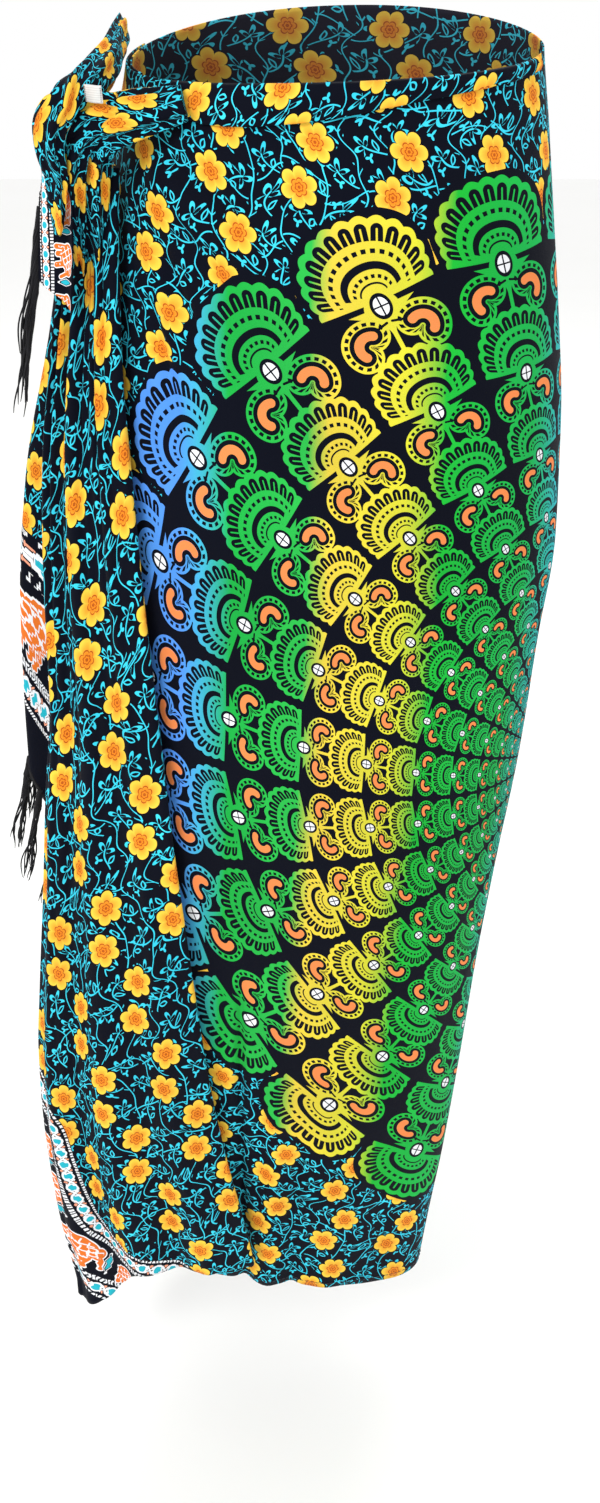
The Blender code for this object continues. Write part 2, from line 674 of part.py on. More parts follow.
run = edge_run(tail[-1][2:], tail[-3][2:], TAIL_TASSEL_PITCH, TAIL_TASSEL_HALF,
               TAIL_STRIP_MARGIN, TAIL_STRIP_MARGIN)
build_fringe("tail_fringe", run, settle(TAIL_TASSEL_LENGTH, 0.40, 0.0004), TAIL_TASSEL_HALF, YARN)
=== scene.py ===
"""Looks of a printed rayon sarong, wrapped once round and knotted at one hip.

Metres, +Z up, the front faces -Y, the origin is the middle of the waist opening.
"""
import ast
import logging
import math
import operator
import random
from dataclasses import dataclass
from enum import Enum
import bpy
import numpy as np
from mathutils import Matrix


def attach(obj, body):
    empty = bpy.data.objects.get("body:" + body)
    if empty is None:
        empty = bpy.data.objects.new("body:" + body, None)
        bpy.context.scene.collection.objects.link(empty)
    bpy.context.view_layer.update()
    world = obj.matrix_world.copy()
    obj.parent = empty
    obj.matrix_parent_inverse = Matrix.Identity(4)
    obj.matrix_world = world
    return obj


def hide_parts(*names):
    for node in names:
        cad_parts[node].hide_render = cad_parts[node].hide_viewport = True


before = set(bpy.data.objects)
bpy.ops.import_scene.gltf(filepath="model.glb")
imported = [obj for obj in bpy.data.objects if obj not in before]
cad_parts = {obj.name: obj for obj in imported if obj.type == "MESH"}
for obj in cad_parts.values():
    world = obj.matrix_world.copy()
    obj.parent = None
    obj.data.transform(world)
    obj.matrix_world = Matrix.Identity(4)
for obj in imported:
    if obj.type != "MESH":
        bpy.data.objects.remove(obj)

LOG = logging.getLogger("sarong")
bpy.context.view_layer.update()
BODY = "root"

CLOTH = 0.0008                # drawn thickness of the rayon
LAYER_STEP = 0.0024           # one layer to the next where the wrap overlaps
FLOWER_CELL = 60.0            # repeat of the flower ground, in mm
FAR_FROM_END = 0.5            # metres from the end edge, well clear of the border
BLACK_EDGE = 0.010            # metres from the end edge, in the border's black


class Slot(Enum):
    """Material slots of the record."""

    RAYON = "printed_rayon"
    YARN = "black_yarn"
    TAPE = "label_tape"


class Levels:
    """Rows of a table read smoothly at any value of the first column."""

    def __init__(self, columns: tuple[str, ...], rows: tuple[tuple[float, ...], ...]) -> None:
        """Sorts the rows and works out the slope of each column at each row.

        Args:
            columns: name of each column, the first is the key.
            rows: one row for each level.
        """
        data = np.array(sorted(rows), dtype=float)
        self.key = data[:, 0]
        self.columns = {name: data[:, k] for k, name in enumerate(columns)}
        self.slopes = {name: self._slopes(values) for name, values in self.columns.items()}

    def _slopes(self, values: np.ndarray) -> np.ndarray:
        """Slopes that keep the curve from overshooting its rows.

        Args:
            values: one column.

        Returns:
            The slope at each row.
        """
        rise = np.diff(values) / np.diff(self.key)
        slope = np.zeros(len(values))
        slope[0], slope[-1] = rise[0], rise[-1]
        for k in range(1, len(values) - 1):
            if rise[k - 1] * rise[k] > 0.0:
                slope[k] = 2.0 * rise[k - 1] * rise[k] / (rise[k - 1] + rise[k])
        return slope

    def at(self, name: str, key: np.ndarray | float) -> np.ndarray:
        """Value of a column.

        Args:
            name: the column.
            key: one key or an array of them.

        Returns:
            The value at each key, held at the ends of the table.
        """
        key = np.clip(key, self.key[0], self.key[-1])
        k = np.clip(np.searchsorted(self.key, key) - 1, 0, len(self.key) - 2)
        span = self.key[k + 1] - self.key[k]
        t = (key - self.key[k]) / span
        low, high = self.columns[name][k], self.columns[name][k + 1]
        s0, s1 = self.slopes[name][k] * span, self.slopes[name][k + 1] * span
        return ((2 * t**3 - 3 * t**2 + 1) * low + (t**3 - 2 * t**2 + t) * s0
                + (3 * t**2 - 2 * t**3) * high + (t**3 - t**2) * s1)


def smooth(value: np.ndarray | float) -> np.ndarray:
    """Soft step from 0 to 1."""
    value = np.clip(value, 0.0, 1.0)
    return value * value * (3.0 - 2.0 * value)


def mix(low: np.ndarray | float, high: np.ndarray | float, share: np.ndarray | float) -> np.ndarray:
    """Straight change from one value to another."""
    return low + (high - low) * share


def bump(distance: np.ndarray, half_width: np.ndarray | float) -> np.ndarray:
    """Soft rounded ridge, 1 in the middle."""
    return np.exp(-(distance / half_width) ** 2)


def signed_power(value: np.ndarray, power: float) -> np.ndarray:
    """Power that keeps the sign."""
    return np.copysign(np.abs(value) ** power, value)


def around(values: tuple[float, ...], tau: np.ndarray) -> np.ndarray:
    """Even change of a size round the body.

    Args:
        values: the size at the left, the front, the right and the back.
        tau: angles round the body, 0 at the left and a quarter turn at the front.

    Returns:
        The size at each angle.
    """
    left, front, right, back = values
    mean = (left + front + right + back) / 4.0
    return (mean + (left - right) / 2.0 * np.cos(tau) + (front - back) / 2.0 * np.sin(tau)
            + (left + right - front - back) / 4.0 * np.cos(2.0 * tau))


def curve_through(stops: list[np.ndarray], count: int) -> np.ndarray:
    """Even points along a smooth line through the stops.

    Args:
        stops: points of any dimension.
        count: how many points to return.

    Returns:
        One row for each point.
    """
    stops = [np.array(stop, dtype=float) for stop in stops]
    ends = [2 * stops[0] - stops[1]] + stops + [2 * stops[-1] - stops[-2]]
    t = (np.arange(16) / 16.0)[:, None]
    pieces = []
    for k in range(len(stops) - 1):
        a, b, c, d = ends[k:k + 4]
        pieces.append(0.5 * (2 * b + (c - a) * t + (2 * a - 5 * b + 4 * c - d) * t**2
                             + (3 * b - a - 3 * c + d) * t**3))
    fine = np.concatenate(pieces + [stops[-1][None, :]])
    return on_line(fine, np.linspace(0.0, path_length(fine)[-1], count))


def on_line(line: np.ndarray, places: np.ndarray | float) -> np.ndarray:
    """Points of a line at distances along it."""
    run = path_length(line)
    return np.stack([np.interp(places, run, line[:, k]) for k in range(line.shape[1])], axis=-1)


def path_length(points: np.ndarray) -> np.ndarray:
    """Distance along a line of points, 0 at the first."""
    steps = np.linalg.norm(np.diff(points, axis=0), axis=-1)
    return np.concatenate((np.zeros((1,) + steps.shape[1:]), np.cumsum(steps, axis=0)))


@dataclass
class BodyForm:
    """Form that the wrap follows: an oval section at each level."""

    squareness: float = 2.12
    columns: tuple[str, ...] = ("z", "left", "right", "front", "back")
    rows: tuple[tuple[float, ...], ...] = (
        (0.020, -0.110, 0.111, -0.097, 0.083),
        (0.000, -0.111, 0.112, -0.098, 0.085),
        (-0.050, -0.121, 0.119, -0.105, 0.093),
        (-0.100, -0.133, 0.126, -0.110, 0.101),
        (-0.150, -0.141, 0.132, -0.113, 0.108),
        (-0.210, -0.147, 0.137, -0.114, 0.114),
        (-0.280, -0.149, 0.139, -0.112, 0.119),
        (-0.350, -0.149, 0.133, -0.107, 0.120),
        (-0.430, -0.149, 0.127, -0.098, 0.119),
        (-0.520, -0.150, 0.118, -0.083, 0.117),
        (-0.620, -0.152, 0.109, -0.064, 0.115),
        (-0.720, -0.153, 0.102, -0.043, 0.114),
        (-0.820, -0.153, 0.094, -0.021, 0.114),
        (-0.900, -0.152, 0.086, -0.001, 0.114),
        (-0.980, -0.151, 0.079, 0.019, 0.114),
    )

    def __post_init__(self) -> None:
        """Makes the table readable at any level."""
        self.levels = Levels(self.columns, self.rows)

    def side(self, name: str, z: np.ndarray | float) -> np.ndarray:
        """Place of one side of the section at a level."""
        return self.levels.at(name, z)

    def point(self, tau: np.ndarray, z: np.ndarray, out: np.ndarray | float = 0.0) -> np.ndarray:
        """Points of the section; tau is 0 at the left and a quarter turn at the front.

        Args:
            tau: angle round the body.
            z: level.
            out: distance out of the section.

        Returns:
            Points, with x, y and z in the last axis.
        """
        left, right = self.side("left", z), self.side("right", z)
        front, back = self.side("front", z), self.side("back", z)
        rx, ry = (right - left) / 2.0, (back - front) / 2.0
        p = 2.0 / self.squareness
        c, s = np.cos(tau), np.sin(tau)
        nx, ny = -signed_power(c, 2.0 - p) / rx, -signed_power(s, 2.0 - p) / ry
        size = np.hypot(nx, ny)
        x = (left + right) / 2.0 - rx * signed_power(c, p) + out * nx / size
        y = (front + back) / 2.0 - ry * signed_power(s, p) + out * ny / size
        return np.stack(np.broadcast_arrays(x, y, z), axis=-1)


FORM = BodyForm()


@dataclass(frozen=True)
class Hex:
    """A colour as it is seen on a screen."""

    code: str

    def linear(self) -> tuple[float, float, float, float]:
        """Colour in the linear values that shaders take.

        Returns:
            Red, green, blue and a full alpha.
        """
        parts = [int(self.code[k:k + 2], 16) / 255.0 for k in (1, 3, 5)]
        line = [c / 12.92 if c <= 0.04045 else ((c + 0.055) / 1.055) ** 2.4 for c in parts]
        return (line[0], line[1], line[2], 1.0)


def add_node(tree: bpy.types.NodeTree, kind: str, links: dict | None = None,
             inputs: dict | None = None, **settings: object) -> bpy.types.Node:
    """Adds a node with its settings, its links and the values of its free sockets.

    Args:
        tree: where the node goes.
        kind: Blender's name of the node's type.
        links: socket to link from, for each input by name or number.
        inputs: value of each free input by name or number.
        settings: properties of the node.

    Returns:
        The node.
    """
    node = tree.nodes.new(kind)
    for name, value in settings.items():
        setattr(node, name, value)
    for name, value in (inputs or {}).items():
        node.inputs[name].default_value = value
    for name, socket in (links or {}).items():
        tree.links.new(socket, node.inputs[name])
    return node


def over(tree: bpy.types.NodeTree, below: object, above: object, share: object) -> object:
    """Lays one colour over another.

    Args:
        tree: the material's node tree.
        below: the colour underneath, or its socket.
        above: the upper colour, or its socket.
        share: how much of the upper colour shows, a number or a socket.

    Returns:
        Socket of the mixed colour.
    """
    links, values = {}, {}
    for name, value in (("Factor", share), (6, below), (7, above)):
        if isinstance(value, Hex):
            values[name] = value.linear()
        elif isinstance(value, float):
            values[name] = value
        else:
            links[name] = value
    return add_node(tree, "ShaderNodeMix", links, values, data_type="RGBA").outputs[2]


def noise(tree: bpy.types.NodeTree, place: object, scale: float, detail: float = 2.0) -> object:
    """Socket of a soft noise at a place."""
    return add_node(tree, "ShaderNodeTexNoise", {"Vector": place},
                    {"Scale": scale, "Detail": detail}).outputs["Fac"]


def relief(tree: bpy.types.NodeTree, height: object, strength: float, distance: float,
           under: object = None) -> object:
    """Socket of a normal that follows a height, over another normal if there is one."""
    links = {"Height": height} if under is None else {"Height": height, "Normal": under}
    return add_node(tree, "ShaderNodeBump", links,
                    {"Strength": strength, "Distance": distance}).outputs[0]


def new_material(name: str) -> bpy.types.Material:
    """Starts a material that is named for the real one.

    Args:
        name: the real material's name.

    Returns:
        The material, with its node tree.
    """
    material = bpy.data.materials.new(name)
    material.use_nodes = True
    return material


def set_shader(material: bpy.types.Material, colour: object, normal: object,
               values: dict[str, float]) -> bpy.types.Material:
    """Feeds a material's shader.

    Args:
        material: the material.
        colour: socket of its colour.
        normal: socket of its relief, or None.
        values: constants of the shader's own sockets by name.

    Returns:
        The same material, ready for use.
    """
    tree = material.node_tree
    shader = tree.nodes["Principled BSDF"]
    tree.links.new(colour, shader.inputs["Base Color"])
    if normal is not None:
        tree.links.new(normal, shader.inputs["Normal"])
    for name, value in values.items():
        shader.inputs[name].default_value = value
    return material


class Drawing:
    """Formulas of a print, written out as the material's Math nodes.

    A formula is a line such as "r = hyp(u, v)". A line "def" gives a shape that later lines use.
    """

    SIGNS = {ast.Add: "ADD", ast.Sub: "SUBTRACT", ast.Mult: "MULTIPLY", ast.Div: "DIVIDE"}
    WORDS = {"sin": "SINE", "cos": "COSINE", "sqrt": "SQRT", "abs": "ABSOLUTE", "floor": "FLOOR",
             "fract": "FRACT", "round": "ROUND", "min": "MINIMUM", "max": "MAXIMUM",
             "less": "LESS_THAN", "more": "GREATER_THAN", "power": "POWER", "log": "LOGARITHM",
             "atan2": "ARCTAN2", "muladd": "MULTIPLY_ADD"}
    SUMS = {"ADD": operator.add, "SUBTRACT": operator.sub, "MULTIPLY": operator.mul,
            "DIVIDE": operator.truediv}

    def __init__(self, tree: bpy.types.NodeTree, **values: object) -> None:
        """Starts a drawing.

        Args:
            tree: the material's node tree.
            values: sockets or numbers that the formulas may name.
        """
        self.tree = tree
        self.values = dict(values)
        self.shapes: dict[str, ast.FunctionDef] = {}
        self.known: dict[tuple, bpy.types.NodeSocket] = {}

    def draw(self, text: str) -> None:
        """Works through the lines of a drawing."""
        for line in ast.parse(text).body:
            self._line(line)

    def _line(self, line: ast.stmt) -> None:
        """Keeps a shape, or the value of one formula."""
        if isinstance(line, ast.FunctionDef):
            self.shapes[line.name] = line
        else:
            self.values[line.targets[0].id] = self._value(line.value)

    def _value(self, term: ast.expr) -> object:
        """Number or socket that a term of a formula stands for.

        Args:
            term: part of a formula.

        Returns:
            A number, or the socket of the node that works it out.
        """
        if isinstance(term, ast.Constant):
            return float(term.value)
        if isinstance(term, ast.Name):
            return self.values[term.id]
        if isinstance(term, ast.UnaryOp):
            return self._step("MULTIPLY", self._value(term.operand), -1.0)
        if isinstance(term, ast.BinOp):
            return self._step(self.SIGNS[type(term.op)], self._value(term.left),
                              self._value(term.right))
        inputs = [self._value(argument) for argument in term.args]
        if term.func.id in self.shapes:
            return self._shape(self.shapes[term.func.id], inputs)
        return self._step(self.WORDS[term.func.id], *inputs)

    def _shape(self, shape: ast.FunctionDef, inputs: list[object]) -> object:
        """Value that a shape returns for its inputs.

        Args:
            shape: the shape's lines.
            inputs: numbers or sockets, one for each of its names.

        Returns:
            A number or a socket.
        """
        outside = dict(self.values)
        self.values.update(zip([argument.arg for argument in shape.args.args], inputs))
        for line in shape.body[:-1]:
            self._line(line)
        result = self._value(shape.body[-1].value)
        self.values = outside
        return result

    def _step(self, operation: str, *inputs: object) -> object:
        """One Math node, or a plain number where every input is one.

        Args:
            operation: Blender's name of the sum.
            inputs: numbers or sockets.

        Returns:
            A number or the node's socket, the same one where a sum comes twice.
        """
        if all(isinstance(value, float) for value in inputs) and operation in self.SUMS:
            return self.SUMS[operation](*inputs)
        key = (operation,) + tuple(value if isinstance(value, float) else value.as_pointer()
                                   for value in inputs)
        if key not in self.known:
            numbers = {k: value for k, value in enumerate(inputs) if isinstance(value, float)}
            links = {k: value for k, value in enumerate(inputs) if not isinstance(value, float)}
            node = add_node(self.tree, "ShaderNodeMath", links, numbers, operation=operation)
            self.known[key] = node.outputs[0]
        return self.known[key]


SHAPES = """
def hyp(x, y):
    return sqrt(muladd(x, x, y * y))

def near(x, step):
    return x - step * round(x / step)

def span(x, low, high):
    return more(x, low) * less(x, high)

def fade(x, low, high):
    return min(max((x - low) / (high - low), 0.0), 1.0)

def blend(a, b, share):
    return muladd(b - a, share, a)

def ring(x, at, half):
    return less(abs(x - at), half)

def dots(x, step, share):
    return less(abs(near(x, step)), step * share)

def rod(x, y, x0, y0, x1, y1):
    along = fade((x - x0) * (x1 - x0) + (y - y0) * (y1 - y0), 0.0,
                 (x1 - x0) * (x1 - x0) + (y1 - y0) * (y1 - y0))
    return hyp(x - x0 - along * (x1 - x0), y - y0 - along * (y1 - y0))
"""

# Peacock fans in rings about one centre, each ring a fixed share smaller than the last.
# Lengths inside a fan are shares of the distance from its eye to its tip.
FANS = """
r = hyp(u, v)
turn = atan2(v, u) - FAN_LEAD
off = near(turn, FAN_STEP)
place = log(r / FAN_RADIUS, FAN_SHRINK)
number = floor(place + 0.66)
size = FAN_RADIUS * power(FAN_SHRINK, number)
px = abs(sin(off)) * r / (size * FAN_UNIT * 1.31)
py = (cos(off) * r / size - 1.0) / FAN_UNIT
fy = py - 0.06
rho = hyp(px, fy)
phi = atan2(px, fy)
c = max(cos(phi), 0.0)
edge = muladd(0.30 * c * c, 3.0 - 2.0 * c, 0.64)
t = rho / edge
rim = muladd(abs(cos(phi * 14.54)), 0.045, 0.955)
fan = less(t, rim) * less(phi, 1.55)
inside = more(number, -0.5)
outer = (1.0 - fan) * less(place - number, -0.42) * more(number, 0.5)
back = outer * (1.0 - FAN_SHRINK)
x = px * (1.0 - back)
y = py * (1.0 - back) - outer * (1.0 - FAN_SHRINK) / FAN_UNIT
arch_x = near(phi, 0.216) * t
arch_y = t - 0.82
arch = ring(hyp(arch_x, max(arch_y - 0.02, 0.0)), 0.040, 0.029) * more(arch_y, -0.120)
bow = span(t, 0.375, 0.465) * less(phi, 1.22)
beads = ring(t, 0.585, 0.028) * dots(phi, 0.176, 0.27)
small = ring(t, 0.295, 0.022) * dots(phi, 0.25, 0.27) * less(phi, 1.15)
line = ring(t, 0.215, 0.012) * less(phi, 1.0)
cut = fan * less(phi, 1.40) * max(max(arch, bow), max(max(beads, small), line))
eye = hyp(x / 0.080, y / 0.106)
cross = less(min(x, abs(y)), 0.009)
dx = x - 0.345
dy = y + 0.33
along = dx * 0.64 - dy * 0.77
across = 0.07 + dx * 0.77 + dy * 0.64
rad = hyp(along, across)
bend = less(abs(along), across * 5.6)
bean = blend(hyp(abs(along) - 0.128, across - 0.023), abs(rad - 0.13), bend)
body = max(less(hyp(x, y + 0.03), 0.19), less(rod(x, y, 0.0, -0.04, 0.26, -0.24), 0.080))
stem = less(x, 0.024 + 3.0 * power(max(y + 0.34, 0.0), 2.0)) * span(y, -0.52, 0.0)
shape = max(max(fan, less(bean, 0.185)), max(body, stem))
pips = ring(bean, 0.135, 0.020) * dots(atan2(along, across), 0.34, 0.28)
whisker = less(rod(x, y, 0.03, -0.19, 0.14, -0.22), 0.014)
white = less(eye, 1.0) * (1.0 - cross)
rimmed = less(eye, 1.42) * (1.0 - white)
orange = less(bean, 0.050)
black = max(max(cut, rimmed), max(max(pips, whisker), ring(bean, 0.076, 0.025)))
fan_ink = shape * (1.0 - black) * (1.0 - white)
fan_orange = orange * (1.0 - white) * (1.0 - rimmed)
near_fans = max(less(r, FAN_RADIUS * 1.03), less(t, 1.09) * less(phi, 1.8) * inside)
shade = abs(dye) / DYE_END
rim_tone = (1.0 - fade(t, 0.5, 1.0)) * 0.30
ink_mask = fan_ink * inside
white_mask = white * inside
bean_mask = fan_orange * inside
"""

# Yellow flowers, two in each square of the ground, with turquoise stems and leaves between.
# Lengths are millimetres.
FLOWERS = """
def flower(x, y):
    angle = atan2(y, x)
    petal = abs(cos(angle * 3.0))
    far = hyp(x, y)
    return far / muladd(sqrt(petal), 4.6, 7.7)

mx = u * 1000.0
my = v * 1000.0
ax = near(mx, CELL)
ay = near(my, CELL)
bx = near(mx + CELL * 0.24, CELL)
by = near(my + CELL * 0.45, CELL)
first = flower(ax, ay)
second = flower(bx * 0.94 + by * 0.34, by * 0.94 - bx * 0.34)
bloom = min(first, second)
petals = less(bloom, 1.0)
heart = 1.0 - fade(bloom, 0.28, 0.90)
whorl = max(ring(bloom, 0.21, 0.034), ring(bloom, 0.43, 0.034)) + ring(bloom, 0.05, 0.040)
wx = mx + 5.0 * sin(my * 0.10472 + 0.9) + 1.8 * sin(my * 0.2618 + 2.0)
wy = my + 4.0 * sin(mx * 0.10472 + 0.4)
column = round(wx / 24.0)
cx = near(wx, 24.0)
shifted = wy + 11.0 * column
cy = near(shifted, 22.0)
chance = fract(sin(round(shifted / 22.0) * 12.9 + column * 7.3) * 43.7)
lean = chance * 2.8 - 1.4
rx = cx * cos(lean) + cy * sin(lean)
ry = cy * cos(lean) - cx * sin(lean)
bow = rx - 0.045 * ry * ry + 1.2
twig = less(abs(bow), 0.58) * span(ry, -11.0, 3.0)
crown_x = rx + 0.6
crown_y = ry - 1.5
crown_turn = atan2(crown_y, crown_x)
crown_size = hyp(crown_x, crown_y) / (1.6 + 6.4 * power(abs(cos(2.5 * crown_turn + 0.35)), 1.6))
crown = ring(crown_size, 0.84, 0.19) * more(crown_y, -1.6)
leaf_a = (rx - 4.2) * 0.8 + (ry + 4.6) * 0.6
leaf_b = (ry + 4.6) * 0.8 - (rx - 4.2) * 0.6
leaf = ring(abs(leaf_b) / 1.8 + leaf_a * leaf_a / 12.0, 0.80, 0.28)
star_x = rx + 5.6
star_y = ry + 3.6
star = less(hyp(star_x, star_y), 0.8 + 2.4 * power(abs(cos(1.5 * atan2(star_y, star_x))), 3.0))
run = near(wx + 12.0 + 2.5 * sin(wy * 0.2094), 24.0)
long_stem = less(abs(run), 0.44)
barb = less(abs(near(wy + 5.0 * column - 0.9 * abs(run), 22.0)), 0.45) * less(abs(run), 3.4)
cross_stem = less(abs(near(wy + 8.0 * sin(column * 1.7) + 3.0 * sin(wx * 0.1309), 44.0)), 0.42)
growth = max(max(twig, crown), max(leaf, star))
vines = min(max(growth, max(long_stem, max(barb, cross_stem))), 1.0) * more(bloom, 1.12)
"""

# Border along the cloth's short ends: a black edge, beads, elephants, beads again.
# Lengths are millimetres from the end edge.
BORDER = """
end = end_m * 1000.0
along_end = along_m * 1000.0
on_border = less(end, 86.0)
s = near(along_end, 13.0)
bead_e = min(abs(end - 30.0), abs(end - 78.0))
oval = hyp(bead_e / 0.9, s)
bead = less(oval, 3.1)
bead_rim = less(oval, 4.6) * (1.0 - bead)
half = abs(near(along_end + 6.5, 13.0))
cross_arm = less(abs(bead_e - half), 0.9) * less(half + bead_e, 6.4)
tip = less(hyp(half, bead_e - 3.0), 1.1)
dash = dots(along_end, 3.0, 0.30)
lines = max(ring(bead_e, 6.6, 0.9), ring(abs(end - 54.0), 15.6, 0.8)) * dash
gx = near(along_end, 46.0)
gy = end - 54.0
trunk = rod(gx, gy, 14.0, 3.0, 18.0, -7.0)
legs = min(rod(gx, gy, -8.5, -3.0, -9.5, -12.0), rod(gx, gy, 6.0, -3.0, 7.0, -12.0))
legs = min(legs, rod(gx, gy, -2.5, -3.0, -3.0, -10.5))
beast = min(min(hyp(gx / 1.3, gy - 2.0) - 9.0, hyp(gx - 12.0, gy - 3.5) - 5.2),
            min(trunk - 1.6, legs - 2.4))
hide = less(beast, 0.0)
halo = span(beast, 0.0, 1.0)
saddle = max(dots(gx + 0.5 * gy, 6.0, 0.09), dots(gy - 0.4 * gx, 5.5, 0.10)) * less(beast, -1.6)
ear = ring(hyp(gx - 7.5, gy - 3.0), 3.6, 0.5)
hx = near(along_end + 23.0, 46.0)
plume = hyp(hx / (3.6 - 0.18 * abs(gy)), gy / 11.0)
plume_in = less(plume, 0.62)
plume_rim = span(plume, 0.8, 1.0)
band = span(end, 39.0, 69.0)
bead_band = less(bead_e, 7.6)
elephant = band * hide * (1.0 - saddle) * (1.0 - ear) * on_border
turquoise = (bead_band * bead + band * plume_in) * on_border
bead_white = max(max(bead_band * bead_rim, lines), bead_band * cross_arm)
beast_white = max(band * max(halo, plume_rim), band * hide * max(saddle, ear))
white_ink = max(bead_white, beast_white) * on_border
tan = bead_band * tip * on_border
"""


class Region(Enum):
    """Stretches of the cloth that carry different parts of the print."""

    MIDDLE = "middle"
    END = "end"


@dataclass(frozen=True)
class PrintedRayon:
    """Viscose rayon, plain woven and screen printed: soft, matt, with a faint silky sheen."""

    region: Region
    reverse: bool = False
    ground: Hex = Hex("#070a17")
    vine: Hex = Hex("#48e2fa")
    vine_deep: Hex = Hex("#2cc0dc")
    petal: Hex = Hex("#fbd048")
    heart: Hex = Hex("#ee8a24")
    whorl: Hex = Hex("#b4561a")
    bean: Hex = Hex("#f08a4e")
    white: Hex = Hex("#eef0f4")
    turquoise: Hex = Hex("#27b5c8")
    elephant: Hex = Hex("#e8762a")
    tan: Hex = Hex("#efa183")
    fan_rim: Hex = Hex("#0e6a3c")
    back_grey: Hex = Hex("#34323c")
    fan_radius: float = 0.362     # metres from the middle of the rings to the outer eyes
    fan_shrink: float = 0.812     # each ring against the one outside it
    fans_in_ring: int = 24
    fan_lead: float = 99.6        # degrees to the fan that stands upright
    fan_unit: float = 0.142       # eye to tip, as a share of the ring's radius
    thread: float = 0.9           # mm; real threads are 0.3 mm, too fine to show
    ink_patches: float = 18.0     # changes of the vine ink's tone, to the metre
    wear_patches: float = 9.0     # changes of the dye's strength, to the metre
    puckers: float = 130.0        # puckers between the threads, to the metre
    dyes: tuple[tuple[float, str], ...] = (
        (0.00, "#3fb4dc"), (0.050, "#2fb5b8"), (0.085, "#1db654"), (0.150, "#1fbb38"),
        (0.172, "#dfdc38"), (0.214, "#eed044"), (0.226, "#2fbb4c"), (0.270, "#1db044"),
        (0.288, "#45b4d8"), (0.300, "#5595f0"),
    )

    def build(self) -> bpy.types.Material:
        """Makes the material.

        Returns:
            The material, whose patterns follow the cloth's own place and edge attributes.
        """
        material = new_material("printed_rayon_" + self.region.value
                                + ("_reverse" if self.reverse else ""))
        tree = material.node_tree
        u, v, dye = self._parts(tree, "place")
        art = Drawing(tree, u=u, v=v, dye=dye, CELL=FLOWER_CELL, FAN_RADIUS=self.fan_radius,
                      FAN_SHRINK=self.fan_shrink, FAN_UNIT=self.fan_unit,
                      FAN_LEAD=math.radians(self.fan_lead), FAN_STEP=math.tau / self.fans_in_ring,
                      DYE_END=self.dyes[-1][0], WAVE=math.pi / (self.thread / 1000.0))
        flat = add_node(tree, "ShaderNodeCombineXYZ", {0: u, 1: v}).outputs[0]
        art.draw(SHAPES)
        art.draw(FLOWERS)
        colour = self._flowers(tree, art.values, flat)
        if self.region is Region.MIDDLE:
            art.draw(FANS)
            colour = self._fans(tree, art.values, colour)
        else:
            art.values["end_m"], art.values["along_m"], _ = self._parts(tree, "edge")
            art.draw(BORDER)
            colour = self._border(tree, art.values, colour)
        art.draw("weave = abs(sin(u * WAVE)) * abs(sin(v * WAVE))")
        pucker = relief(tree, noise(tree, flat, self.puckers), 0.30, 0.0009)
        weave = relief(tree, art.values["weave"], 0.35, 0.0002, pucker)
        return set_shader(material, self._wear(tree, flat, colour), weave,
                          {"Roughness": 0.74, "Specular IOR Level": 0.06, "Sheen Weight": 0.02,
                           "Sheen Roughness": 0.45})

    def _parts(self, tree: bpy.types.NodeTree, name: str) -> list[bpy.types.NodeSocket]:
        """Sockets of the three numbers of a point attribute."""
        vector = add_node(tree, "ShaderNodeAttribute", attribute_name=name).outputs["Vector"]
        return list(add_node(tree, "ShaderNodeSeparateXYZ", {"Vector": vector}).outputs)

    def _flowers(self, tree: bpy.types.NodeTree, masks: dict, flat: object) -> object:
        """Colour of the flower ground.

        Args:
            tree: the material's node tree.
            masks: sockets of the drawing by name.
            flat: socket of the place on the cloth.

        Returns:
            Socket of the colour.
        """
        ink = over(tree, self.vine_deep, self.vine, noise(tree, flat, self.ink_patches, 1.0))
        colour = over(tree, self.ground, ink, masks["vines"])
        gold = over(tree, self.petal, self.heart, masks["heart"])
        gold = over(tree, gold, self.whorl, masks["whorl"])
        return over(tree, colour, gold, masks["petals"])

    def _fans(self, tree: bpy.types.NodeTree, masks: dict, colour: object) -> object:
        """Colour of the fans over the flower ground.

        Args:
            tree: the material's node tree.
            masks: sockets of the drawing by name.
            colour: socket of the ground's colour.

        Returns:
            Socket of the colour.
        """
        ramp = add_node(tree, "ShaderNodeValToRGB", {"Fac": masks["shade"]})
        stops = ramp.color_ramp.elements
        for k, (place, code) in enumerate(self.dyes):
            position = place / self.dyes[-1][0]
            stop = stops[k] if k < 2 else stops.new(position)
            stop.position = position
            stop.color = Hex(code).linear()
        deep = over(tree, ramp.outputs[0], self.fan_rim, 0.45)
        ink = over(tree, ramp.outputs[0], deep, masks["rim_tone"])
        layers = ((self.ground, "near_fans"), (ink, "ink_mask"), (self.bean, "bean_mask"),
                  (self.white, "white_mask"))
        for layer, mask in layers:
            colour = over(tree, colour, layer, masks[mask])
        return colour

    def _border(self, tree: bpy.types.NodeTree, masks: dict, colour: object) -> object:
        """Colour of the bead and elephant border over the flower ground.

        Args:
            tree: the material's node tree.
            masks: sockets of the drawing by name.
            colour: socket of the ground's colour.

        Returns:
            Socket of the colour.
        """
        layers = ((self.ground, "on_border"), (self.turquoise, "turquoise"),
                  (self.elephant, "elephant"), (self.tan, "tan"), (self.white, "white_ink"))
        for layer, mask in layers:
            colour = over(tree, colour, layer, masks[mask])
        return colour

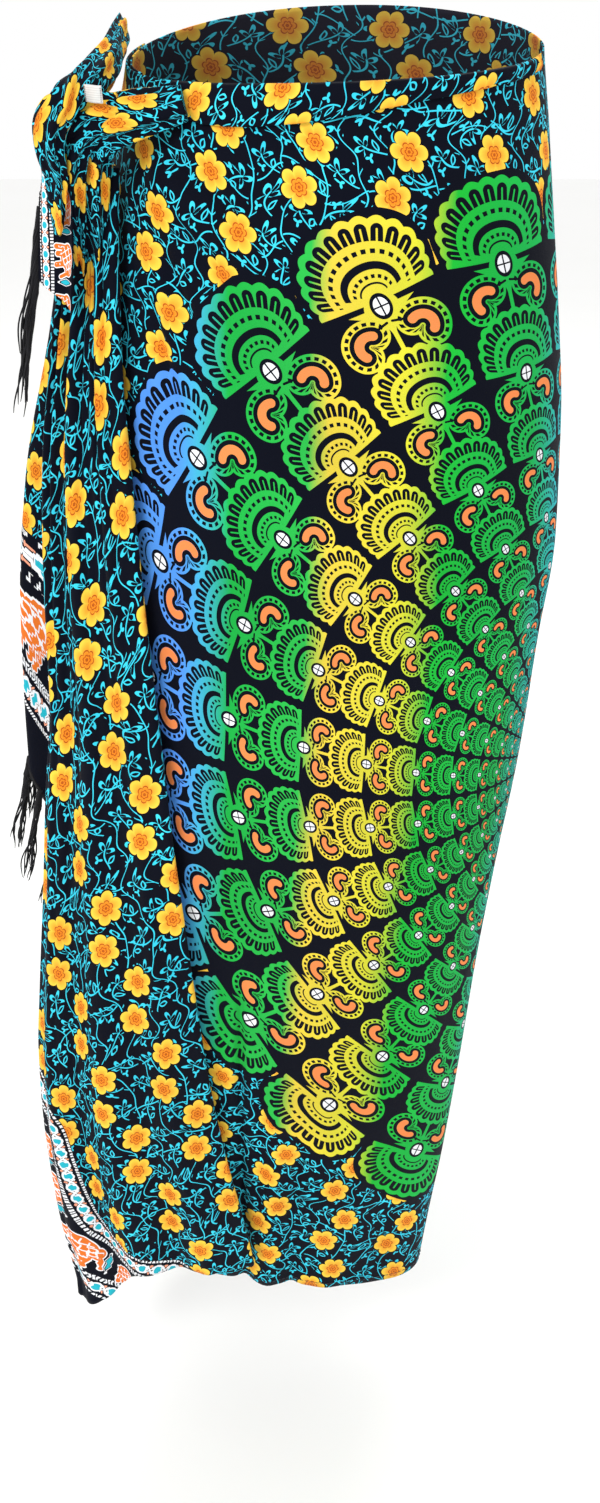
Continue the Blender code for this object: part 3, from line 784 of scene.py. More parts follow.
    def _wear(self, tree: bpy.types.NodeTree, flat: object, colour: object) -> object:
        """Uneven take-up of the dye, and the paler reverse of a print.

        Args:
            tree: the material's node tree.
            flat: socket of the place on the cloth.
            colour: socket of the print's colour.

        Returns:
            Socket of the colour.
        """
        level = add_node(tree, "ShaderNodeMapRange", {"Value": noise(tree, flat, self.wear_patches)},
                         {"From Min": 0.3, "From Max": 0.7, "To Min": 0.90, "To Max": 1.08})
        colour = add_node(tree, "ShaderNodeHueSaturation",
                          {"Color": colour, "Value": level.outputs[0]}).outputs[0]
        return over(tree, colour, self.back_grey, 0.42) if self.reverse else colour


@dataclass(frozen=True)
class TwistedYarn:
    """Black dyed cotton yarn, loosely twisted: dull, with a dusty grey bloom of loose fibres."""

    colour: Hex = Hex("#0a0a0d")
    bloom: Hex = Hex("#1b1b20")
    ply: float = 0.0022           # metres from one turn of the twist to the next
    flecks: float = 260.0         # changes of tone, to the metre

    def build(self) -> bpy.types.Material:
        """Makes the material.

        Returns:
            A rough black with a twist in its relief.
        """
        material = new_material("cotton_yarn_twisted")
        tree = material.node_tree
        place = add_node(tree, "ShaderNodeTexCoord").outputs["Object"]
        flecks = noise(tree, place, self.flecks, 3.0)
        twist = add_node(tree, "ShaderNodeTexWave", {"Vector": place},
                         {"Scale": 1.0 / self.ply / 6.0, "Distortion": 3.0},
                         bands_direction="DIAGONAL")
        return set_shader(material, over(tree, self.colour, self.bloom, flecks),
                          relief(tree, twist.outputs["Fac"], 0.5, 0.0003),
                          {"Roughness": 0.85, "Specular IOR Level": 0.15, "Sheen Weight": 0.08,
                           "Sheen Roughness": 0.6})


@dataclass(frozen=True)
class SewingThread:
    """Spun polyester sewing thread in near black, a little glossier than the cloth."""

    colour: Hex = Hex("#22222c")
    fibre: Hex = Hex("#3c3c4a")
    flecks: float = 900.0         # changes of tone, to the metre

    def build(self) -> bpy.types.Material:
        """Makes the material of the hem stitches.

        Returns:
            A near black with a fine fleck.
        """
        material = new_material("polyester_thread_spun")
        tree = material.node_tree
        place = add_node(tree, "ShaderNodeTexCoord").outputs["Object"]
        flecks = noise(tree, place, self.flecks)
        return set_shader(material, over(tree, self.colour, self.fibre, flecks), None,
                          {"Roughness": 0.45})


@dataclass(frozen=True)
class WovenTape:
    """White satin-woven polyester label tape: smooth ribs with a soft gloss, no words on it."""

    colour: Hex = Hex("#e9e9e6")
    # painted shade: the darker white of the hollows between the ribs
    painted_rib_shade: Hex = Hex("#d6d6d4")
    rib: float = 0.0006           # metres between the tape's ribs

    def build(self) -> bpy.types.Material:
        """Makes the material of the bare label.

        Returns:
            An off-white, darker in the hollows between its ribs as painted shade, with ribs in its
            relief.
        """
        material = new_material("polyester_tape_satin")
        tree = material.node_tree
        place = add_node(tree, "ShaderNodeTexCoord").outputs["Object"]
        ribs = add_node(tree, "ShaderNodeTexWave", {"Vector": place},
                        {"Scale": 1.0 / self.rib / 6.3}, bands_direction="Z").outputs["Fac"]
        # painted shade in the colour: darker white in the hollows between the ribs
        return set_shader(material, over(tree, self.painted_rib_shade, self.colour, ribs),
                          relief(tree, ribs, 0.4, 0.0001), {"Roughness": 0.42})


@dataclass(frozen=True)
class PaleFloor:
    """Matt painted studio floor, a plain warm white."""

    colour: Hex = Hex("#f9f9f8")
    shade: Hex = Hex("#f7f7f5")
    patches: float = 6.0          # changes of tone, to the metre

    def build(self) -> bpy.types.Material:
        """Makes the floor's material.

        Returns:
            A matt white with a faint change of tone.
        """
        material = new_material("matt_paint_white")
        tree = material.node_tree
        place = add_node(tree, "ShaderNodeTexCoord").outputs["Object"]
        patches = noise(tree, place, self.patches)
        return set_shader(material, over(tree, self.shade, self.colour, patches), None,
                          {"Roughness": 0.7})


class Finishes:
    """Every material of the sarong, made once."""

    def __init__(self) -> None:
        """Builds the materials."""
        self.middle = PrintedRayon(Region.MIDDLE).build()
        self.middle_reverse = PrintedRayon(Region.MIDDLE, reverse=True).build()
        self.end = PrintedRayon(Region.END).build()
        self.end_reverse = PrintedRayon(Region.END, reverse=True).build()
        self.yarn = TwistedYarn().build()
        self.thread = SewingThread().build()
        self.tape = WovenTape().build()


@dataclass
class ClothSheet:
    """One piece of cloth as a thin closed shell over a grid of points."""

    name: str
    points: np.ndarray            # columns, rows, then x, y and z
    place: np.ndarray             # columns, rows, then u, v and dye on the flat cloth
    edge: np.ndarray | None = None      # then distance from the end edge and along it
    face: bpy.types.Material | None = None
    reverse: bpy.types.Material | None = None
    thickness: float = CLOTH
    inside_out: bool = False

    def normals(self) -> np.ndarray:
        """Outward direction at each point of the grid.

        Returns:
            A vector of length 1 for each point.
        """
        along = np.gradient(self.points, axis=0)
        down = np.gradient(self.points, axis=1)
        out = np.cross(down, along)
        out /= np.maximum(np.linalg.norm(out, axis=-1, keepdims=True), 1e-12)
        return -out if self.inside_out else out

    def build(self) -> bpy.types.Object:
        """Makes the shell.

        Returns:
            The object, with both walls, its rim and its print attributes.
        """
        columns, rows = self.points.shape[:2]
        lift = self.normals() * self.thickness / 2.0
        points = np.concatenate(((self.points + lift).reshape(-1, 3),
                                 (self.points - lift).reshape(-1, 3)))
        index = np.arange(columns * rows).reshape(columns, rows)
        outer = self._quads(index)
        inner = self._quads(index + columns * rows)[:, ::-1]
        loop = np.concatenate((index[:-1, 0], index[-1, :-1], index[:0:-1, -1], index[0, :0:-1]))
        after = np.roll(loop, -1)
        rim = np.stack((loop, after, after + columns * rows, loop + columns * rows), axis=1)
        if self.inside_out:
            outer, inner, rim = outer[:, ::-1], inner[:, ::-1], rim[:, ::-1]
        faces = np.concatenate((outer, inner, rim))
        mesh = bpy.data.meshes.new(self.name)
        mesh.from_pydata(points.tolist(), [], faces.tolist())
        self._store(mesh, "place", self.place)
        if self.edge is not None:
            self._store(mesh, "edge", self.edge)
        self._unwrap(mesh, columns, rows, faces)
        mesh.materials.append(self.face)
        mesh.materials.append(self.reverse or self.face)
        second = np.zeros(len(faces), dtype=np.int32)
        second[len(outer):len(outer) + len(inner)] = 1
        mesh.polygons.foreach_set("material_index", second)
        mesh.shade_smooth()
        mesh.update()
        return finished(self.name, mesh)

    def area(self) -> float:
        """Area of one side of the cloth, in square metres.

        Returns:
            The area of its outer wall.
        """
        a = self.points[1:, :-1] - self.points[:-1, :-1]
        b = self.points[:-1, 1:] - self.points[:-1, :-1]
        return float(np.linalg.norm(np.cross(a, b), axis=-1).sum())

    def _quads(self, index: np.ndarray) -> np.ndarray:
        """Faces between the points of a grid, seen from outside."""
        return np.stack((index[:-1, :-1], index[:-1, 1:], index[1:, 1:], index[1:, :-1]),
                        axis=-1).reshape(-1, 4)

    def _store(self, mesh: bpy.types.Mesh, name: str, values: np.ndarray) -> None:
        """Stores a vector for each point, the same on both walls.

        Args:
            mesh: the shell's mesh.
            name: the attribute's name.
            values: two or three numbers for each point.
        """
        flat = values.reshape(-1, values.shape[-1])
        flat = np.pad(flat, ((0, 0), (0, 3 - flat.shape[1])))
        store(mesh, name, np.concatenate((flat, flat)))

    def _unwrap(self, mesh: bpy.types.Mesh, columns: int, rows: int, faces: np.ndarray) -> None:
        """Lays the outer wall on one half of the unit square and the inner on the other.

        Args:
            mesh: the shell's mesh.
            columns: points across the sheet.
            rows: points down the sheet.
            faces: every face: outer wall, inner wall, then rim.
        """
        i, j = np.meshgrid(np.arange(columns) / (columns - 1), np.arange(rows) / (rows - 1),
                           indexing="ij")
        wall = np.stack((0.01 + 0.47 * i.ravel(), 0.01 + 0.96 * (1.0 - j.ravel())), axis=1)
        both = np.concatenate((wall, wall + np.array((0.51, 0.0))))
        corners = both[faces.ravel()].astype(np.float32)
        rim = (len(faces) - 2 * (columns + rows - 2)) * 4
        spread = np.linspace(0.01, 0.99, 2 * (columns + rows - 2) + 1)
        strip = np.stack((spread[:-1], spread[1:], spread[1:], spread[:-1]), axis=1).ravel()
        corners[rim:, 0] = strip
        corners[rim:, 1] = np.tile((0.980, 0.980, 0.995, 0.995), len(strip) // 4)
        layer = mesh.uv_layers.new(name="OFBake")
        layer.data.foreach_set("uv", corners.ravel())


def store(mesh: bpy.types.Mesh, name: str, values: np.ndarray) -> None:
    """Stores a number or a vector for each point of a mesh.

    Args:
        mesh: the mesh.
        name: the attribute's name.
        values: a number or a vector for each point.
    """
    kind, field = ("FLOAT", "value") if values.ndim == 1 else ("FLOAT_VECTOR", "vector")
    layer = mesh.attributes.new(name, kind, "POINT")
    layer.data.foreach_set(field, values.astype(np.float32).ravel())


def placed(name: str, data: bpy.types.ID) -> bpy.types.Object:
    """Puts a new object in the scene.

    Args:
        name: the object's name.
        data: its mesh, lamp or camera.

    Returns:
        The object, at the origin.
    """
    thing = bpy.data.objects.new(name, data)
    bpy.context.scene.collection.objects.link(thing)
    return thing


def finished(name: str, mesh: bpy.types.Mesh) -> bpy.types.Object:
    """Puts a mesh in the scene as a piece that rides on the sarong's one body.

    Args:
        name: the piece's name.
        mesh: its mesh, already in place.

    Returns:
        The piece.
    """
    piece = placed(name, mesh)
    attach(piece, BODY)
    LOG.info("%s: %d faces", name, len(mesh.polygons))
    return piece


def dress(piece: bpy.types.Object, slot: Slot, *nodes: str) -> None:
    """Hides the solids that a piece stands for.

    Args:
        piece: the finished piece; not used.
        slot: material slot of the record; not used.
        nodes: the solids that it hides.
    """
    if nodes:
        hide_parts(*nodes)


@dataclass
class Crease:
    """A soft ridge or trough along a line on the wrap."""

    round0: float                 # place round the front, metres from its middle
    z0: float
    round1: float
    z1: float
    height: float                 # out of the cloth, below zero for a trough
    wide0: float                  # half width at its two ends
    wide1: float
    ripple: float = 0.10          # waver of its line, as a share of its width
    rise: tuple[float, float] = (-0.08, 0.25)   # where it starts, and over how much it rises
    fall: tuple[float, float] = (0.60, 0.55)    # where it starts to fade, and over how much

    def lift(self, around_m: np.ndarray, z: np.ndarray) -> np.ndarray:
        """Height of the crease at places on the cloth.

        Args:
            around_m: distance round the section from the middle of the front.
            z: level.

        Returns:
            Distance out of the cloth at each place.
        """
        dx, dz = self.round1 - self.round0, self.z1 - self.z0
        length = math.hypot(dx, dz)
        share = ((around_m - self.round0) * dx + (z - self.z0) * dz) / length / length
        across = ((around_m - self.round0) * dz - (z - self.z0) * dx) / length
        across = across + self.ripple * self.wide1 * np.sin(9.0 * share + self.z0 * 40.0)
        begun = smooth((share - self.rise[0]) / self.rise[1])
        left = 1.0 - smooth((share - self.fall[0]) / self.fall[1])
        wide = mix(self.wide0, self.wide1, np.clip(share, 0.0, 1.0))
        return self.height * begun * left * bump(across, wide)


@dataclass
class Wrap:
    """The cloth's long stretch that goes round the body, open at waist and hem."""

    spans: tuple[tuple[float, float, int], ...] = (
        (-0.34, 0.55, 20), (0.55, 1.45, 96), (1.45, 3.40, 72), (3.40, 6.7032, 56),
    )
    rows: int = 176
    crowd: float = 0.55           # how much closer together the rows lie at the top
    layer_tau: float = 0.62       # angle where the outer of the two layers ends
    folded_tau: float = 1.9       # angle where the drag folds end
    creased: tuple[float, float] = (0.72, 6.0)  # angles between which the creases lie
    fold_rise: tuple[float, float] = (-0.10, 0.25)
    fold_fall: tuple[float, float] = (0.55, 0.70)
    waist: tuple[float, ...] = (-0.010, -0.012, -0.002, 0.010)
    hem: tuple[float, ...] = (-0.920, -0.938, -0.958, -0.925)
    drag_folds: tuple[tuple[float, ...], ...] = (
        (-0.104, -0.052, -0.050, -0.080, 0.0030, 0.006, 0.013),
        (-0.108, -0.062, -0.008, -0.130, 0.0034, 0.007, 0.018),
        (-0.110, -0.078, -0.074, -0.165, 0.0026, 0.007, 0.014),
    )
    creases: tuple[tuple[float, ...], ...] = (
        (-0.118, -0.026, 0.030, -0.050, -0.0020, 0.0024, 0.0050),
        (-0.118, -0.030, -0.010, -0.070, 0.0020, 0.0030, 0.0060),
        (-0.120, -0.036, -0.030, -0.092, -0.0044, 0.0024, 0.0056),
        (-0.122, -0.044, -0.048, -0.118, -0.0030, 0.0024, 0.0052),
        (-0.120, -0.052, -0.060, -0.162, -0.0046, 0.0024, 0.0060),
        (-0.118, -0.060, -0.080, -0.205, -0.0040, 0.0024, 0.0060),
        (-0.118, -0.100, -0.092, -0.270, -0.0022, 0.0030, 0.0060),
        (-0.108, -0.110, -0.085, -0.330, 0.0014, 0.0050, 0.0100),
        (-0.050, -0.070, 0.060, -0.110, -0.0010, 0.0040, 0.0080),
        (0.060, -0.145, 0.165, -0.165, 0.0011, 0.004, 0.009),
        (0.050, -0.158, 0.150, -0.185, -0.0009, 0.004, 0.008),
        (-0.070, -0.255, 0.010, -0.285, 0.0008, 0.004, 0.008),
        (0.150, -0.030, 0.205, -0.200, -0.0014, 0.008, 0.016),
        (0.175, -0.250, 0.150, -0.560, 0.0016, 0.010, 0.020),
        (0.130, -0.480, 0.118, -0.820, -0.0012, 0.009, 0.018),
        (0.024, -0.700, 0.040, -1.100, 0.0030, 0.0080, 0.0140),
        (-0.042, -0.580, -0.026, -1.150, -0.0062, 0.0030, 0.0080),
        (-0.014, -0.640, -0.010, -1.150, 0.0048, 0.0050, 0.0110),
        (0.075, -0.760, 0.082, -0.970, -0.0020, 0.008, 0.014),
        (0.008, -0.720, 0.006, -1.150, -0.0042, 0.0030, 0.0080),
        (0.300, -0.020, 0.290, -0.330, -0.0018, 0.012, 0.024),
        (0.400, -0.040, 0.380, -0.520, 0.0022, 0.012, 0.026),
        (0.350, -0.350, 0.345, -0.930, -0.0024, 0.012, 0.024),
        (0.450, -0.300, 0.445, -0.930, 0.0024, 0.012, 0.022),
        (0.270, -0.450, 0.265, -0.940, 0.0022, 0.012, 0.022),
        (0.520, -0.100, 0.480, -0.600, -0.0020, 0.012, 0.022),
    )
    centre_round: float = 0.2152      # where the rings of the print have their middle
    centre_z: float = -0.4568
    print_u: tuple[float, ...] = (0.984, 0.122, -0.477, 0.217, 0.217)   # of s, h, ss, sh and hh
    print_v: tuple[float, ...] = (0.185, 0.974, -0.245, -0.382, 0.187)
    flat: tuple[float, float] = (0.86, 0.95)

    def spread(self) -> tuple[np.ndarray, np.ndarray]:
        """Angle and level at each point of the grid.

        Returns:
            The angles and the levels.
        """
        parts = [np.linspace(start, stop, count + 1)[:-1] for start, stop, count in self.spans]
        tau = np.concatenate(parts + [np.array([self.spans[-1][1]])])[:, None]
        even = np.linspace(0.0, 1.0, self.rows)[None, :]
        share = mix(even, even ** 1.7, self.crowd)
        tau, share = np.broadcast_arrays(tau, share)
        return tau, mix(around(self.waist, tau), around(self.hem, tau), share)

    def round_front(self, tau: np.ndarray, z: np.ndarray) -> np.ndarray:
        """Distance along the section from the middle of the front.

        Args:
            tau: angle round the body.
            z: level.

        Returns:
            The distance at each place, below zero to the left.
        """
        fine = np.linspace(self.spans[0][0], self.spans[-1][1], 720)
        levels = np.linspace(-0.98, 0.02, 60)
        ring_tau, ring_z = np.meshgrid(fine, levels, indexing="ij")
        run = path_length(FORM.point(ring_tau, ring_z))
        middle = np.array([np.interp(math.pi / 2, fine, run[:, k]) for k in range(len(levels))])
        run = run - middle
        i = np.clip((tau - fine[0]) / (fine[1] - fine[0]), 0, len(fine) - 1.001)
        k = np.clip((z - levels[0]) / (levels[1] - levels[0]), 0, len(levels) - 1.001)
        i0, k0 = i.astype(int), k.astype(int)
        low = mix(run[i0, k0], run[i0 + 1, k0], i - i0)
        high = mix(run[i0, k0 + 1], run[i0 + 1, k0 + 1], i - i0)
        return mix(low, high, k - k0)

    def lift(self, tau: np.ndarray, z: np.ndarray) -> np.ndarray:
        """Height of the overlap, the drag folds and the creases over the plain form.

        Args:
            tau: angle round the body.
            z: level.

        Returns:
            Distance out of the form at each place.
        """
        x = FORM.point(tau, z)[..., 0]
        total = LAYER_STEP * (1.0 - smooth((tau - self.layer_tau) / 0.7))
        front = smooth((tau - self.layer_tau) / 0.15) * (tau < self.folded_tau)
        for row in self.drag_folds:
            fold = Crease(*row, ripple=0.0, rise=self.fold_rise, fall=self.fold_fall)
            total = total + fold.lift(x, z) * front
        run = self.round_front(tau, z)
        start, end = self.creased
        free = smooth((tau - start) / 0.2) * (1.0 - smooth((tau - end) / 0.2))
        for row in self.creases:
            total = total + Crease(*row).lift(run, z) * free
        return total

    def print_place(self, run: np.ndarray, z: np.ndarray) -> np.ndarray:
        """Where the cloth lay in the flat print before it was wrapped and pulled to the knot.

        Args:
            run: distance round the section from the middle of the front.
            z: level.

        Returns:
            Flat place from the middle of the rings, then the distance that sets the dye.
        """
        s, h = run - self.centre_round, z - self.centre_z
        terms = (s, h, s * s, s * h, h * h)
        u, v = (sum(weight * term for weight, term in zip(weights, terms))
                for weights in (self.print_u, self.print_v))
        return np.stack((u, v, s), axis=-1)

    def point(self, tau: np.ndarray, z: np.ndarray, out: np.ndarray | float = 0.0) -> np.ndarray:
        """Points of the creased cloth."""
        return FORM.point(tau, z, self.lift(tau, z) + out)

    def build(self, finishes: Finishes) -> None:
        """Args:
            finishes: the materials.
        """
        tau, z = self.spread()
        run = self.round_front(tau, z)
        sheet = ClothSheet("wrap_cloth", self.point(tau, z), self.print_place(run, z), None,
                           finishes.middle, finishes.middle_reverse)
        piece = sheet.build()
        dress(piece, Slot.RAYON, "wrap")
        LOG.info("wrap area %.3f", sheet.area())


@dataclass
class WaistFold:
    """The top edge, turned down over the front."""

    columns: int = 180
    rows: int = 18
    heights: tuple[tuple[float, ...], ...] = (
        (0.76, 0.014), (0.93, 0.019), (1.12, 0.020), (1.45, 0.018), (1.80, 0.012), (2.20, 0.008),
        (2.75, 0.006),
    )
    stand: float = 0.0021         # out of the wrap
    belly: float = 0.0012
    rolled: float = 0.10          # share of the height that lies in the fold's round edge
    flat: tuple[float, float] = (0.22, 0.021)

    def build(self, wrap: Wrap, finishes: Finishes) -> None:
        """Makes the fold out of the wrap's own points, moved out.

        Args:
            wrap: the wrap that it lies on.
            finishes: the materials.
        """
        levels = Levels(("tau", "height"), self.heights)
        tau = np.linspace(self.heights[0][0], self.heights[-1][0], self.columns)[:, None]
        down = np.linspace(0.0, 1.0, self.rows)[None, :]
        tau, down = np.broadcast_arrays(tau, down)
        top = around(wrap.waist, tau)
        z = top - levels.at("height", tau) * down
        start = (down - self.rolled) / self.rolled
        roll = np.sqrt(np.clip(1.0 - start ** 2, 0.0, 1.0)) * (down < self.rolled)
        wave = 0.0005 * np.sin(tau * 31.0 + down * 2.0) + 0.0004 * np.sin(tau * 53.0 + 1.0)
        out = self.stand * np.where(down < self.rolled, 0.35 + 0.65 * roll, 1.0)
        out = out + self.belly * np.sin(np.pi * down) + wave * down
        place = wrap.print_place(wrap.round_front(tau, z), 2.0 * top - z)
        sheet = ClothSheet("waist_fold_cloth", wrap.point(tau, z, out), place, None,
                           finishes.middle, finishes.middle_reverse)
        piece = sheet.build()
        dress(piece, Slot.RAYON, "waist_fold")
        LOG.info("fold area %.4f", sheet.area())


@dataclass
class Cascade:
    """The front end of the cloth, which hangs from the knot in long folds."""

    rows: int = 230
    front_columns: int = 132
    back_columns: int = 30
    turn_columns: int = 12
    columns: tuple[str, ...] = ("z", "fold_x", "left_x", "left_y", "tip_x", "tip_y")
    levels: tuple[tuple[float, ...], ...] = (
        (-0.060, -0.118, -0.146, -0.046, -0.144, -0.036),
        (-0.110, -0.119, -0.152, -0.044, -0.150, -0.030),
        (-0.160, -0.119, -0.161, -0.041, -0.158, -0.025),
        (-0.220, -0.116, -0.171, -0.038, -0.168, -0.020),
        (-0.300, -0.112, -0.177, -0.034, -0.174, -0.017),
        (-0.390, -0.106, -0.180, -0.031, -0.177, -0.015),
        (-0.460, -0.102, -0.188, -0.028, -0.185, -0.013),
        (-0.540, -0.096, -0.196, -0.023, -0.192, -0.004),
        (-0.620, -0.090, -0.205, -0.016, -0.198, 0.014),
        (-0.690, -0.084, -0.212, -0.008, -0.202, 0.030),
        (-0.770, -0.074, -0.215, 0.004, -0.202, 0.044),
        (-0.850, -0.062, -0.213, 0.014, -0.198, 0.054),
        (-0.950, -0.051, -0.204, 0.026, -0.186, 0.066),
    )
    clear: float = 0.0084         # out of the wrap's plain form
    turn: float = 0.0030          # radius of the turned edge
    under: float = 0.012          # width that is turned under
    beyond: float = 0.2           # share below 0 for the turned edge and above 1 for the curl
    flat_share: float = 0.4       # of the turned edge, the part that lies against the wrap
    search: tuple[float, float] = (0.12, 2.2)   # angles between which the fold is looked for
    top: float = -0.0588
    top_drop: float = 0.004       # from the turned edge to the free one
    hem: tuple[tuple[float, ...], ...] = (
        (0.00, -0.897), (0.30, -0.908), (0.40, -0.911), (0.50, -0.934), (0.60, -0.955),
        (0.74, -0.965), (0.90, -0.967), (1.05, -0.962), (1.20, -0.953),
    )
    # A fold's row: its place across at the top, middle and hem, its height there, its width.
    main_folds: tuple[tuple[float, ...], ...] = (
        (0.12, 0.10, 0.12, 0.0022, 0.0030, 0.0070, 0.090),
        (0.25, 0.21, 0.24, -0.0034, -0.0024, -0.0056, 0.050),
        (0.37, 0.36, 0.38, 0.0032, 0.0040, 0.0076, 0.095),
        (0.52, 0.55, 0.53, -0.0046, -0.0026, -0.0046, 0.060),
        (0.67, 0.70, 0.70, 0.0034, 0.0036, 0.0056, 0.090),
        (0.84, 0.86, 0.86, -0.0024, -0.0020, -0.0020, 0.060),
    )
    fine_folds: tuple[tuple[float, ...], ...] = (
        (0.07, 0.08, 0.10, -0.0030, -0.0010, -0.0026, 0.020),
        (0.17, 0.15, 0.17, -0.0042, -0.0010, -0.0010, 0.024),
        (0.31, 0.29, 0.31, -0.0048, -0.0012, -0.0008, 0.026),
        (0.45, 0.45, 0.45, -0.0050, -0.0010, -0.0010, 0.026),
        (0.58, 0.60, 0.60, 0.0018, 0.0010, 0.0006, 0.030),
        (0.63, 0.66, 0.64, -0.0048, -0.0010, -0.0008, 0.024),
        (0.77, 0.78, 0.79, -0.0042, -0.0010, -0.0008, 0.026),
        (0.91, 0.93, 0.94, -0.0024, -0.0006, -0.0004, 0.022),
    )
    bead_row: tuple[tuple[float, float], ...] = (
        (-0.030, -0.630), (0.005, -0.668), (0.030, -0.703), (0.050, -0.731), (0.067, -0.755),
        (0.074, -0.793), (0.081, -0.833), (0.093, -0.864), (0.120, -0.886), (0.148, -0.899),
        (0.185, -0.911),
    )
    bead_from_end: float = 0.078  # from the cloth's end edge to the middle of the bead row
    border_ease: float = 0.68     # width of the border laid flat, against its width as it hangs
    print_u: tuple[float, float, float] = (-0.973, 0.214, 0.0041)   # per metre across, up, start
    print_v: tuple[float, float, float] = (0.533, 0.847, -0.0234)
    print_z: float = -0.45        # level that the print is set out from
    gather: float = 0.55          # more cloth to the width at the knot than low down
    gather_z: tuple[float, float] = (-0.42, 0.34)   # where that starts, and over what height
    bare: float = 0.007           # black edge in front of the tassels
    bare_z: float = -0.57         # level under which it shows
    tassel_z: tuple[float, float] = (-0.880, -0.575)    # levels between which tassels show
    flat: tuple[float, float] = (0.185, 0.91)

    def border(self, tip: np.ndarray, z: np.ndarray) -> np.ndarray:
        """Distance from the cloth's end edge and along it, read from the bead row's path.

        Args:
            tip: distance along the cloth from the cascade's free edge.
            z: level.

        Returns:
            Both distances for each point.
        """
        path = curve_through(list(self.bead_row), 160)
        along = path_length(path)
        ahead = np.gradient(path, axis=0)
        ahead /= np.linalg.norm(ahead, axis=1, keepdims=True)
        place = np.stack((tip, z), axis=-1)
        gap = np.linalg.norm(place[:, :, None, :] - path[None, None, :, :], axis=-1)
        k = gap.argmin(axis=-1)
        off = place - path[k]
        turn = ahead[k][..., 0] * off[..., 1] - ahead[k][..., 1] * off[..., 0]
        end = self.bead_from_end + self.border_ease * np.copysign(gap.min(axis=-1), turn)
        return np.stack((end, along[k]), axis=-1)

    def folds(self, share: np.ndarray, down: np.ndarray) -> np.ndarray:
        """Height of the folds.

        Args:
            share: share of the width, from the turned edge to the free one.
            down: share of the length.

        Returns:
            Distance out of the cloth at each place.
        """
        upper, lower = smooth(down * 2.0), smooth(down * 2.0 - 1.0)
        total = np.zeros_like(share)
        for at0, at1, at2, up0, up1, up2, wide in self.main_folds + self.fine_folds:
            at = np.where(down < 0.5, mix(at0, at1, upper), mix(at1, at2, lower))
            up = np.where(down < 0.5, mix(up0, up1, upper), mix(up1, up2, lower))
            total = total + up * bump(share - at, wide)
        return total

    def limits(self, across: np.ndarray) -> tuple[np.ndarray, np.ndarray]:
        """Levels of the top and of the hem at a share of the width."""
        top = self.top - self.top_drop * smooth(across)
        return top, Levels(("across", "level"), self.hem).at("level", across)

    def shares(self) -> tuple[np.ndarray, np.ndarray, np.ndarray]:
        """Across and down shares of the grid, and its levels.

        Returns:
            The three of them, each for every point.
        """
        turn = np.linspace(-self.beyond, 0.0, self.turn_columns)[:-1]
        front = np.linspace(0.0, 1.0, self.front_columns)
        back = np.linspace(1.0, 1.0 + self.beyond, self.back_columns)[1:]
        across = np.concatenate((turn, front, back))[:, None]
        down = np.linspace(0.0, 1.0, self.rows)[None, :]
        across, down = np.broadcast_arrays(across, down)
        return across, down, mix(*self.limits(across), down)

    def fold_middle(self, z: np.ndarray, fold_x: np.ndarray) -> tuple[np.ndarray, ...]:
        """Middle of the round edge where the cloth turns under.

        Args:
            z: level.
            fold_x: how far to the right the edge reaches.

        Returns:
            The angle round the body, the middle in plan and the way out of the wrap there.
        """
        out = self.clear + self.turn
        low, high = (np.full_like(z, angle) for angle in self.search)
        for _ in range(30):
            tau = (low + high) / 2.0
            left_of = FORM.point(tau, z, out)[..., 0] < fold_x - self.turn * np.sin(tau)
            low, high = np.where(left_of, tau, low), np.where(left_of, high, tau)
        middle = FORM.point(tau, z, out)[..., :2]
        return tau, middle, (middle - FORM.point(tau, z)[..., :2]) / out

    def turned_edge(self, across: np.ndarray, z: np.ndarray, tau: np.ndarray, middle: np.ndarray,
                    normal: np.ndarray) -> np.ndarray:
        """The cloth that is turned under: a flat part against the wrap, then the round edge.

        Args:
            across: share of the width, below 0 here.
            z: level.
            tau: angle of the round edge.
            middle: its middle in plan.
            normal: the way out of the wrap there.

        Returns:
            Points in plan.
        """
        wide = self.under / (FORM.side("right", z) - FORM.side("left", z)) * 2.0
        part = (across + self.beyond) / self.beyond
        flat_part = np.clip(part / self.flat_share, 0.0, 1.0)
        under = FORM.point(tau - wide * (1.0 - flat_part), z, self.clear)[..., :2]
        turned = np.clip((part - self.flat_share) / (1.0 - self.flat_share), 0.0, 1.0)
        angle = (np.pi * turned)[..., None]
        side = np.stack((-normal[..., 1], normal[..., 0]), axis=-1)
        curl = middle - normal * self.turn * np.cos(angle) + side * self.turn * np.sin(angle)
        return np.where((part < self.flat_share)[..., None], under, curl)

    def point(self, across: np.ndarray, down: np.ndarray, z: np.ndarray) -> np.ndarray:
        """Points of the cascade: its turned-under edge, its front and its curl at the back.

        Args:
            across: share of the width, below 0 in the turned edge and above 1 in the curl.
            down: share of the length.
            z: level.

        Returns:
            One point for each place.
        """
        table = Levels(self.columns, self.levels)
        fold_x, left_x, left_y, tip_x, tip_y = (table.at(name, z) for name in self.columns[1:])
        tau, middle, normal = self.fold_middle(z, fold_x)
        start = middle + normal * self.turn
        centre = (FORM.side("left", z) + FORM.side("right", z)) / 2.0
        reach = centre - left_x
        first = (centre - start[..., 0]) / reach
        drop = (left_y - start[..., 1]) / np.sqrt(1.0 - first ** 2)
        share = np.clip(across, 0.0, 1.0)
        t = np.arccos(first) * (1.0 - share)
        face = np.stack((centre - reach * np.cos(t), left_y - drop * np.sin(t)), axis=-1)
        out = np.stack((-np.cos(t) / reach, -np.sin(t) / drop), axis=-1)
        out /= np.linalg.norm(out, axis=-1, keepdims=True)
        edge = smooth(share / 0.10) * smooth((1.0 - share) / 0.10)
        face = face + out * (edge * self.folds(share, down))[..., None]
        late = np.clip((across - 1.0) / self.beyond, 0.0, 1.0)
        rear = np.stack((left_x + (tip_x - left_x) * late * late,
                         left_y + (tip_y - left_y) * late), axis=-1)
        turned = self.turned_edge(across, z, tau, middle, normal)
        plan = np.where((across > 1.0)[..., None], rear, face)
        plan = np.where((across < 0.0)[..., None], turned, plan)
        return np.concatenate((plan, z[..., None]), axis=-1)

